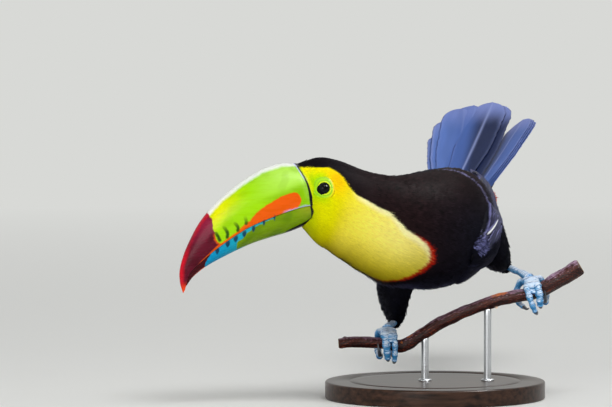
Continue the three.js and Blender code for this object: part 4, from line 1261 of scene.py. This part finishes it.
wingRows = [  # start, v from and to, count, length, width, lift at root and tip, lie, fan, closing, pale
    (0.64, -12, 8, 7, 46, 11, -1.6, -0.8, -2, -0.5, 0.62, 0.12),  # lie is in degrees, and fan is its change
    (0.5, -20, 24, 11, 50, 12, -1.3, -0.3, -2, -0.3, 0.62, 0.12),  # for each mm of v
    (0.36, -22, 25, 12, 46, 11, -1, 0, -2, 0, 0.62, 0.16),  # closing is where the tip starts to close
    (0.29, -20, 20, 11, 30, 9, -0.8, 0.2, -2, 0.1, 0.62, 0.3),  # pale is the strength of the painted highlight on the edges
    (0.2, -3, 19, 7, 26, 8, -0.7, 0.4, 22, -0.7, 0.4, 0.8),
    (0.13, -2, 18, 7, 25, 7, -0.6, 0.6, 25, -0.8, 0.35, 1),
    (0.08, 0, 16, 6, 22, 6.5, -0.5, 0.7, 27, -0.9, 0.3, 1),
    (0.04, 2, 13, 5, 18, 5.5, -0.5, 0.7, 29, -1, 0.3, 1),
    (0.125, 14.4, 14.4, 1, 18, 4.4, 1.0, 2.6, 10, 0, 0.5, 1)]  # one white quill at the front edge
# vane is the feathers' black; sheen, edge, pale and wrist are a painted lavender sheen and highlights on it.
wingTones = palette(vane="#161722", sheen="#393c5c", edge="#8a8ace", pale="#bcbcff", shaft="#f6f6fa",
                    wrist="#66689a")
shoulder = dict(area=(-0.02, 0.86), turns=(-27, 27), count=3200, barbs=6, stray=0.12, lift=0.2, vary=0.2)
wrist = dict(area=(0, 0.14), turns=(2, 16), count=420, barbs=4, stray=0.5, lift=0.3, vary=0.25)


def makeWingCoats(side, point, material):
    # Black feathers of the shoulder lie over the wing's upper edge and those of the flank over its lower
    # edge. A small tuft at the wrist has a painted grey sheen. The shoulder's last feathers have a painted
    # lavender highlight.
    def shoulderShape(t, v):
        rise = v / wingSize(t)[0]
        over = rise > mix(0.72, 0.9, ease(0.4, 0.8, t))
        under = v < 0.5 - 60 * (t - 0.3).clip(0)
        wanted = (over | under | (t < 0.03)) & (t < 0.72) & (rise < mix(2, 0.86, ease(0.45, 0.55, t)))
        high = mix(0.9 + 0.6 * (t < 0.2), -0.2, ease(0.4, 0.5, t))
        return np.where(wanted, mix(10, 14, t), 0), 4.5 + 2 * t, -0.9, high, 0

    def shoulderTone(t, v, ragged):
        rise = v / np.maximum(wingSize(t)[0], 4) + 0.5 * ragged
        line = mix(0.8, 0.85, ease(0.1, 0.4, t))
        fringe = np.maximum(tent(rise, line, 0.06), 0.4 * tent(rise, line - 0.12, 0.05))
        return blend(tones["flank"], wingTones["pale"], fringe * ease(0.06, 0.1, t) * 0.85)

    def wristShape(t, v):
        away = np.hypot((t - 0.055) / 0.05, (v - 9) / 5)
        return np.where(away < 1, 6, 0), 2.2, -0.2, 1.4, 0.4

    def wristTone(t, v, ragged):
        return blend(wingTones["wrist"], wingTones["vane"], ease(-0.01, 0.025, ragged) + 0 * t)

    makeCoat("coat_shoulder_" + side, point, shoulder, shoulderShape, shoulderTone, material,
             lie=lambda t, v: np.radians(8) * np.sign(v))
    makeCoat("coat_wrist_" + side, point, wrist, wristShape, wristTone, material,
             lie=lambda t, v: np.radians(-25) + 0 * t)


def makeWing(side, sign, material, soft):
    # Rows of vanes from the rear to the front, each row over the one behind it, with a painted sheen and
    # painted lavender highlights on their edges.
    point = wingOuter(sign)
    blocks, patches = [], []
    for start, low, high, count, length, width, root, tip, lie, fan, closing, pale in wingRows:
        across = np.linspace(low, high, count) + chance.normal(0, 0.4, count)
        u = start + chance.normal(0, 0.004, count) + 0.03 * ((across - 3) / 25)**2
        turn = np.radians(lie + fan * across + chance.normal(0, 2.5, count))
        longer = length * chance.uniform(0.94, 1.06, count)
        step = 0.12 * np.arange(count)[::-1] / count
        points, faces, a, b, x, y = layVanes(
            point, u, across, turn, longer, width, root + step, tip + step, closing)
        # rim is where the painted lavender highlight lies on each vane's edges and tip
        rim = ease(0.25, 0.9, b) * ease(0.1, 0.4, a) + 0.5 * ease(0.6, 1, -b) * ease(0.2, 0.6, a)
        rim = np.clip(rim + 0.3 * ease(0.9, 1, a), 0, 1)
        tint = chance.uniform(0.2, 1, (count, 1, 1))
        quill = ease(0.5, 0.3, np.abs(b)) * ease(0.1, 0.2, a) * (count == 1)
        colour = layered(
            wingTones, "vane",
            ("sheen", ease(0.1, 0.8, a) * (0.5 if start < 0.28 else 0.4)),
            (blend(wingTones["edge"], wingTones["pale"], tint + 0 * a), rim * pale * (0.45 + 0.5 * tint)),
            ("shaft", quill),
            ("shaft", ease(0.16, 0.06, np.abs(b)) * ease(0.05, 0.2, a) * 0.05))
        blocks.append((points, [faces], colour, {"along": x, "across": y}))
        place = np.stack([u * 0.8 + 0.1, across / 70 + 0.5], -1)[:, None, None, :]
        patches.append((place + patchSize * np.stack([a, b * 0.5 + 0.5], -1)).reshape(-1, 2))
    points, faces, colours, values = joined(blocks)
    makePiece("coat_wing_" + side, points, faces, material, (), colours, values,
              np.concatenate(patches))
    makeWingCoats(side, point, soft)
    print("wing", side, sum(len(f) for f in faces) * 2, "triangles")


tail = dict(  # from the bird's right to its left: root, tip, half width and roll, as in the solids
    feathers=[((8, 92, 150.4), (10.4, 208, 197.4), 13.5, -12), ((9, 92, 151.8), (17.4, 224, 209), 15, -9),
              ((10, 92, 153.2), (26.2, 237, 218.4), 15, -6), ((12, 92, 154.6), (36.3, 243, 220.6), 15.5, -3),
              ((14, 92, 157.4), (51.7, 245, 223.2), 15.5, 0), ((22, 92, 155.6), (56.3, 245, 221.2), 15.5, 4),
              ((31, 91, 154), (77, 239.5, 209), 13.5, 26), ((32.5, 90, 153), (79, 238, 208.4), 13, 28),
              ((34, 89, 152), (81, 235.5, 207.6), 12.5, 30), ((35, 88, 151), (82.6, 232.5, 206.4), 12, 32)],
    shaft=[0.5, 0.42, 0.35, 0.25, 0.1, -0.1, 0.1, -0.1, -0.2, -0.3],
    shaftPale=[0.15, 0.2, 0.25, 0.25, 1, 0.4, 1, 0.5, 0.5, 0.7],
    thickness=0.7, droop=0.035)
coverts = dict(  # the oval root under the tail: place, half width and half height, and its feathers
    rows=[(27, 94, 153.5, 18, 11), (29, 108, 156.5, 17, 8), (33, 122, 160.5, 16, 5.5),
          (38, 136, 165, 14, 3)],
    area=(-0.05, 0.75), turns=(-90, 270), count=700, barbs=7, stray=0.12, lift=0.3, vary=0.1)
# light, middle, tip and rim are a painted blue-grey sky sheen and highlights on black feathers; dark is
# painted shade.
tailTones = palette(
    light="#5876bc", middle="#4562a6", dark="#141e3e", tip="#8492d0", rim="#8f9cd6", shaft="#99a6da",
    under="#161b2a")


def tailFeather(number, root, tip, half, roll):
    # One feather: a long blade across its own line, which opens from the root, closes on a round tip and
    # droops at its sides, with a shaft standing up. b goes over its top face and back under it.
    rows, columns = 110, 33
    a = np.linspace(0, 1, rows)[:, None]
    b = np.concatenate([np.linspace(-1, 1, columns), np.linspace(1, -1, columns)[1:-1]])[None, :]
    top = np.concatenate([np.ones(columns), -np.ones(columns - 2)])[None, :]
    root, tip, tilt = np.array(root, float), np.array(tip, float), np.radians(roll)
    on = unit(tip - root)
    level = unit(np.cross(on, [0, 0, 1.0]))
    side = level * np.cos(tilt) + np.cross(level, on) * np.sin(tilt)
    opening = 0.35 + 0.65 * np.minimum(1, a / 0.5)**0.8
    rounding = np.sqrt(np.clip(1 - np.clip((a - 0.83) / 0.17, 0, 1)**2.2, 0.0005, 1))
    length = 150  # mm, near enough for all of them
    place = np.stack(np.broadcast_arrays(a * length, b * 12, number * 30.0), -1)
    frayed = 0.025 * wobble(place, 9, 61) + 0.012 * wobble(place, 2.4, 62)
    across = half * opening * rounding * b * (1 + frayed * ease(0.75, 1, np.abs(b)))
    fromShaft = b - tail["shaft"][number] * (1 - 0.5 * a)
    ridge = np.exp(-(fromShaft / 0.07)**2) * (1 - 0.75 * a)
    thick = tail["thickness"] * (1 - np.abs(b)**4) * (1 - 0.5 * a) / 2 + 0.45 * ridge
    lift = -tail["droop"] * half * opening * np.abs(b)**1.5 + 0.15 * wobble(place, 30, 63) * ease(0.2, 1, a)
    height = lift + top * thick
    grid = root + (tip - root) * a[..., None] + side * across[..., None]
    grid = grid + np.cross(side, on) * height[..., None]
    # The colour is a painted sky sheen: lightest on the fan's left, with painted shade towards its right and
    # on one half of each far feather, and painted highlights on the tips and edges.
    fan = (grid[..., 0] + 3) / (37 + 37 * a)  # 0 at the fan's left edge and 1 at its right
    middle, shade = ease(0.1, 0.5, fan), ease(0.5, 0.72, fan) * ease(1.02, 0.8, a) * 0.95
    if number > 5:  # the far side of the fan
        middle, shade = 0.4 + 0 * fan, 0.75 * ease(-0.1, -0.9, b) * ease(1, 0.85, a)
    base = layered(tailTones, "light", ("middle", middle), ("dark", shade))
    streak = wobble(np.stack(np.broadcast_arrays(a * 12, b * 8, number * 9.0), -1), 5, 64)
    edgePale = ease(0.8, 0.99, np.abs(b)) * (0.15 + 0.5 * (number < 2) + 0.3 * (number > 5))
    line = np.exp(-(fromShaft / 0.065)**2) * tail["shaftPale"][number]
    colour = layered(
        tailTones, base,
        (base * 1.2, ease(-0.8, 0.8, streak) * 0.6),
        ("tip", ease(0.72, 1, a + 0.03 * streak) * (0.6 + 0.35 * (number > 3))),
        ("rim", np.clip(edgePale, 0, 1) * ease(0.1, 0.4, a)),
        ("shaft", np.clip(line, 0, 1) * (1 - 0.5 * a)),
        ("under", (top < 0) * (0.85 if number < 6 else 0.15)))
    patch = np.broadcast_arrays(0.02 + 0.9 * a, 0.05 + 0.09 * number + 0.035 * (b + 1) * top)
    block = (grid, closedGrid(grid), colour, {"along": a * length + 0 * b, "across": across})
    return block, np.stack(patch, -1).reshape(-1, 2)


def covertPoint(t, turn, height):
    # An oval tube: its half width sideways and half height up, each with the height added.
    t, turn, height = arrays(t, turn, height)
    behind, at, ahead = (curveAt(coverts["rows"], t * 3 + step) for step in (-0.03, 0, 0.03))
    on = unit((ahead - behind)[..., :3])
    side = unit(np.cross(on, [0, 0, 1.0]))
    turn = np.radians(turn)
    reach = np.maximum(at[..., 3] + height, 0) * np.cos(turn)
    rise = np.maximum(at[..., 4] + height, 0) * np.sin(turn)
    return at[..., :3] - side * reach[..., None] + np.cross(side, on) * rise[..., None]


def makeTail(material, coat):
    # The feathers are joined as one piece, and coverts on an oval root hide where they start.
    feathers = [tailFeather(number, *row) for number, row in enumerate(tail["feathers"])]
    points, faces, colours, values = joined([block for block, _ in feathers])
    makePiece("tail_feathers", points, faces, material, ("tail",), colours, values,
              np.concatenate([patch for _, patch in feathers]))
    makeShell("skin_tail_root", closedTube(covertPoint, 40, 60, -3.0, 0.06), coat, (),
              tones["mantle"])
    makeCoat("coat_tail_coverts", covertPoint, coverts,
             lambda t, turn: (mix(14, 17, t), 7, -2.6, -0.4, 0),
             lambda t, turn, ragged: blend(tones["mantle"], tones["crissum"],
                                           ease(40, 25, (turn + 90) % 360 - 90)), coat)
    print("tail made")


def makeThighCoats(material):
    # Towards the heel the feathers get shorter and narrower and stand out a little more.
    for side in ("right", "left"):
        makeCoat("coat_thigh_" + side, thighSurfaces[side], thighs,
                 lambda t, turn: (mix(12, 8, t), mix(4.5, 2.6, t), -thighs["depth"] * 0.9, 0.1 + t, 0),
                 lambda t, turn, ragged: blend(tones["belly"], tones["flank"], 0.5 + 0 * t), material,
                 density=lambda t, turn: 1 + 1.2 * t)


# Finishes

def surfaceNoise(tree, scale, detail, stretch=(1, 1, 1), turn=(0, 0, 0)):
    # Noise on the object's own metres, squeezed along an axis by the mapping.
    place = addNode(tree, "ShaderNodeTexCoord").outputs["Object"]
    squeezed = addNode(tree, "ShaderNodeMapping", {"Vector": place, "Scale": stretch, "Rotation": turn})
    noise = {"Vector": squeezed.outputs[0], "Scale": scale, "Detail": detail}
    return addNode(tree, "ShaderNodeTexNoise", noise).outputs["Fac"]


def barbLines(tree):
    # Slanted parallel barbs 1.2 mm apart: a sine of the place along the vane less 1.4 times that across it.
    along, across = (addNode(tree, "ShaderNodeAttribute", attribute_name=name).outputs["Fac"]
                     for name in ("along", "across"))
    barbs = across
    for operation, *numbers in (("ABSOLUTE",), ("MULTIPLY_ADD", -1.4, along), ("MULTIPLY", 5.2), ("SINE",)):
        inputs = dict(enumerate([barbs, *numbers]))
        barbs = addNode(tree, "ShaderNodeMath", inputs, operation=operation).outputs[0]
    return addNode(tree, "ShaderNodeMapRange", {0: barbs, 1: -1.0, 2: 1.0}).outputs[0]


def makeFinish(name, pattern, tone, rough=None, relief=None, **sockets):
    # A pattern from 0 to 1 makes the piece's own colour lighter and darker by the share in tone, or runs
    # through two tones at two heights. It sets the roughness between two values and stands up as relief,
    # given as metres and strength.
    material, tree, shader = newMaterial(name, **sockets)
    grain = surfaceNoise(tree, *pattern) if isinstance(pattern, tuple) else pattern(tree)
    if isinstance(tone, float):
        own = addNode(tree, "ShaderNodeAttribute", attribute_name="plumage").outputs["Color"]
        level = addNode(tree, "ShaderNodeMapRange", {0: grain, 3: 1 - tone, 4: 1 + tone}).outputs[0]
        colour = addNode(tree, "ShaderNodeVectorMath", {0: own, 1: level}, operation="MULTIPLY")
    else:
        colour = addNode(tree, "ShaderNodeValToRGB", {0: grain})
        for element, (position, hexColour) in zip(colour.color_ramp.elements, tone):
            element.position, element.color = position, rgba(hexColour)
    tree.links.new(colour.outputs[0], shader.inputs["Base Color"])
    if rough:
        spread = addNode(tree, "ShaderNodeMapRange", {0: grain, 3: rough[0], 4: rough[1]})
        tree.links.new(spread.outputs[0], shader.inputs["Roughness"])
    if relief:
        distance, strength = relief
        bump = addNode(tree, "ShaderNodeBump", {"Height": grain, "Distance": distance, "Strength": strength})
        tree.links.new(bump.outputs[0], shader.inputs["Normal"])
    return material


billTurn = (0, np.radians(-bill["pitch"]), np.radians(bill["yaw"] - 90))
feather = dict(pattern=(900, 2), tone=0.08, relief=(0.0002, 0.5), Roughness=0.55, IOR=1.5,
               Specular_IOR_Level=0.04, Sheen_Roughness=0.25)
finishes = dict(
    # Contour feathers: matt keratin barbs about 1 mm apart. They look soft and slightly streaked, and those
    # with black pigment have a silky lavender sheen where they turn away.
    yellow=makeFinish("yellow contour feather", Sheen_Weight=0.01, Sheen_Tint=rgba("#ffffff"), **feather),
    black=makeFinish("black contour feather", Sheen_Weight=0.2, Sheen_Tint=rgba("#a8a8f0"), **feather),
    # Flight and tail feathers: smooth keratin vanes whose parallel barbs catch a long soft highlight.
    vane=makeFinish("flight feather vane", barbLines, 0.1, relief=(0.0001, 0.5), Roughness=0.42, IOR=1.54,
                    Specular_IOR_Level=0.04, Sheen_Weight=0.2, Sheen_Roughness=0.3,
                    Sheen_Tint=rgba("#9494ff")),
    # The bird's skin: bare and faintly damp round the eye, with pores under 1 mm, hidden elsewhere.
    skin=makeFinish("bird skin", (1600, 3), 0.1, relief=(0.0002, 0.6), Roughness=0.45, IOR=1.45,
                    Specular_IOR_Level=0.3),
    # The bill's horn sheath: translucent keratin worn to a gloss, with growth lines about 2 mm apart and
    # 20 mm long.
    bill=makeFinish("bill horn", (420, 4, (0.12, 1, 1), billTurn), 0.07, (0.2, 0.36), (0.00012, 0.35),
                    Roughness=0.24, IOR=1.54, Specular_IOR_Level=0.1, Coat_Weight=0.03, Coat_Roughness=0.06),
    # A wet cornea over a dark iris: near black, with sharp highlights.
    eye=makeFinish("wet eye", (2500, 2), 0.12, Roughness=0.05, IOR=1.38, Specular_IOR_Level=0.12,
                   Coat_Weight=0.02, Coat_Roughness=0.02),
    # Scaly foot skin: leathery scutes with grains under 1 mm, satin; their pale edges are a painted
    # highlight.
    foot=makeFinish("scaled foot skin", (1300, 4), 0.22, (0.34, 0.6), (0.0003, 0.6), Roughness=0.42, IOR=1.5,
                    Specular_IOR_Level=0.3),
    # Claw horn: dark grey keratin polished by use.
    claw=makeFinish("claw horn", (700, 3), 0.25, relief=(0.0001, 0.4), Roughness=0.3, IOR=1.54,
                    Specular_IOR_Level=0.5),
    # Thin young bark: red-brown, smooth and faintly shiny between fine cracks about 1.5 mm apart.
    bark=makeFinish("young bark", (650, 6, (0.6, 1, 1)), 0.45, (0.28, 0.5), (0.0009, 0.7), Roughness=0.38,
                    IOR=1.5, Specular_IOR_Level=0.25, Coat_Weight=0.04, Coat_Roughness=0.15),
    # Sawn end grain: dry, matt and pale with darker rings.
    endWood=makeFinish("sawn end grain", (1500, 4), 0.2, relief=(0.0002, 0.5), Roughness=0.75, IOR=1.5,
                       Specular_IOR_Level=0.3),
    # Dark stained hardwood under satin lacquer: long grain about 1.5 mm apart shows as faint streaks.
    lacquer=makeFinish("stained hardwood", (300, 6, (0.08, 1, 1)), ((0.3, "#1c120e"), (0.75, "#4a3226")),
                       relief=(0.0001, 0.4), Roughness=0.3, IOR=1.5, Specular_IOR_Level=0.15,
                       Coat_Weight=0.08, Coat_Roughness=0.2),
    # Brushed stainless steel: fine rings round the rod draw its highlight out lengthways.
    steel=makeFinish("brushed steel", (900, 3, (0.05, 0.05, 3)), ((0, "#a9abae"), (1, "#cdd0d3")),
                     (0.24, 0.4), Metallic=1.0, Roughness=0.3))


# The studio

studio = dict(floor="#f2f3f0", pale="#d8d9d6", reach=7.0, fade=(0.5, 2.2),
              lamps=dict(key=(1.4, (0.5, -1.7, 2.5), 44), fill=(2.2, (-1.5, -3.4, 0.9), 48),
                         rim=(1.1, (0.9, 2.1, 2.2), 14), glint=(0.5, (0.9, -0.5, 1.2), 48)),
              lampTarget=(0, 0, 0.14), world=0.24,
              cameraPlace=(-0.1032, -5.9745, 0.5738), cameraTarget=(-0.1032, 0.0109, 0.1552), focal=441.18)


def seenDirectly(tree):  # 1 for rays from the camera, off gloss and through glass, 0 for light on the model
    path = addNode(tree, "ShaderNodeLightPath").outputs
    seen = path["Is Camera Ray"]
    for ray in ("Is Glossy Ray", "Is Transmission Ray"):
        seen = addNode(tree, "ShaderNodeMath", {0: seen, 1: path[ray]}, operation="MAXIMUM").outputs[0]
    return seen


def makeStudio():
    # A round sheet of paper. Far from the model it gives way to the same even pale tone as the room's.
    reach, turn = np.linspace(0.01, studio["reach"], 30)[:, None], np.linspace(0, 2 * np.pi, 65)[None, :]
    grid = np.stack([reach * np.cos(turn), reach * np.sin(turn), 0 * reach * turn], -1)
    mesh = bpy.data.meshes.new("studio_floor")
    mesh.from_pydata(grid.reshape(-1, 3), [], gridFaces(*grid.shape[:2]))
    material, tree, shader = newMaterial("studio paper", Roughness=0.9, Specular_IOR_Level=0.2,
                                         Base_Color=rgba(studio["floor"]))
    place = addNode(tree, "ShaderNodeTexCoord").outputs["Object"]
    away = addNode(tree, "ShaderNodeVectorMath", {0: place}, operation="LENGTH").outputs["Value"]
    near, far = studio["fade"]
    far = addNode(tree, "ShaderNodeMapRange", {0: away, 1: near, 2: far}).outputs[0]
    share = addNode(tree, "ShaderNodeMath", {0: far, 1: seenDirectly(tree)}, operation="MULTIPLY").outputs[0]
    glow = addNode(tree, "ShaderNodeEmission", {"Color": rgba(studio["pale"])}).outputs[0]
    both = addNode(tree, "ShaderNodeMixShader", {0: share, 1: shader.outputs[0], 2: glow})
    tree.links.new(both.outputs[0], tree.nodes["Material Output"].inputs["Surface"])
    mesh.materials.append(material)
    floor = bpy.data.objects.new("studio_floor", mesh)
    bpy.context.scene.collection.objects.link(floor)


def aimed(thing, place, target):  # puts a camera or lamp at a place and points it at another
    thing.location = place
    thing.rotation_euler = (Vector(target) - Vector(place)).to_track_quat("-Z", "Y").to_euler()
    bpy.context.scene.collection.objects.link(thing)


def makeLights():
    # Round lamps aimed at the model, in a dim even room that the camera sees as the pale tone.
    for name, (size, place, power) in studio["lamps"].items():
        lamp = bpy.data.lights.new(name, "AREA")
        lamp.shape, lamp.size, lamp.energy = "DISK", size, power
        thing = bpy.data.objects.new(name, lamp)
        thing.visible_diffuse = name != "glint"  # which gives only the light in the eye
        aimed(thing, place, studio["lampTarget"])
    world = bpy.data.worlds.new("studio")
    bpy.context.scene.world = world
    world.use_nodes = True
    tree = world.node_tree
    air = tree.nodes["Background"]
    air.inputs["Strength"].default_value = studio["world"]
    air.inputs["Color"].default_value = (1, 1, 1, 1)
    pale = addNode(tree, "ShaderNodeBackground", {"Color": rgba(studio["pale"])}).outputs[0]
    both = addNode(tree, "ShaderNodeMixShader", {0: seenDirectly(tree), 1: air.outputs[0], 2: pale})
    tree.links.new(both.outputs[0], tree.nodes["World Output"].inputs["Surface"])
    bpy.context.scene.view_settings.view_transform = "Standard"


def makeCamera():  # a long lens six metres away, so near and far parts keep their proportions
    lens = bpy.data.cameras.new("camera")
    lens.lens = studio["focal"]
    lens.sensor_width = 36
    lens.clip_end = 60
    camera = bpy.data.objects.new("camera", lens)
    aimed(camera, studio["cameraPlace"], studio["cameraTarget"])
    bpy.context.scene.camera = camera


makeStudio()
makeLights()
makeCamera()
makeSkin(finishes["skin"])
makeBodyCoats(finishes["yellow"], finishes["black"])
makeThighCoats(finishes["black"])
makeLores(finishes["yellow"])
for side, sign in sides.items():
    makeWing(side, sign, finishes["vane"], finishes["black"])
makeTail(finishes["vane"], finishes["black"])
makeBill(finishes["bill"])
makeEyes(finishes["eye"])
makeFeet(finishes["foot"], finishes["claw"])
makeBranch(finishes["bark"], finishes["endWood"])
makeStand(finishes["lacquer"], finishes["steel"])
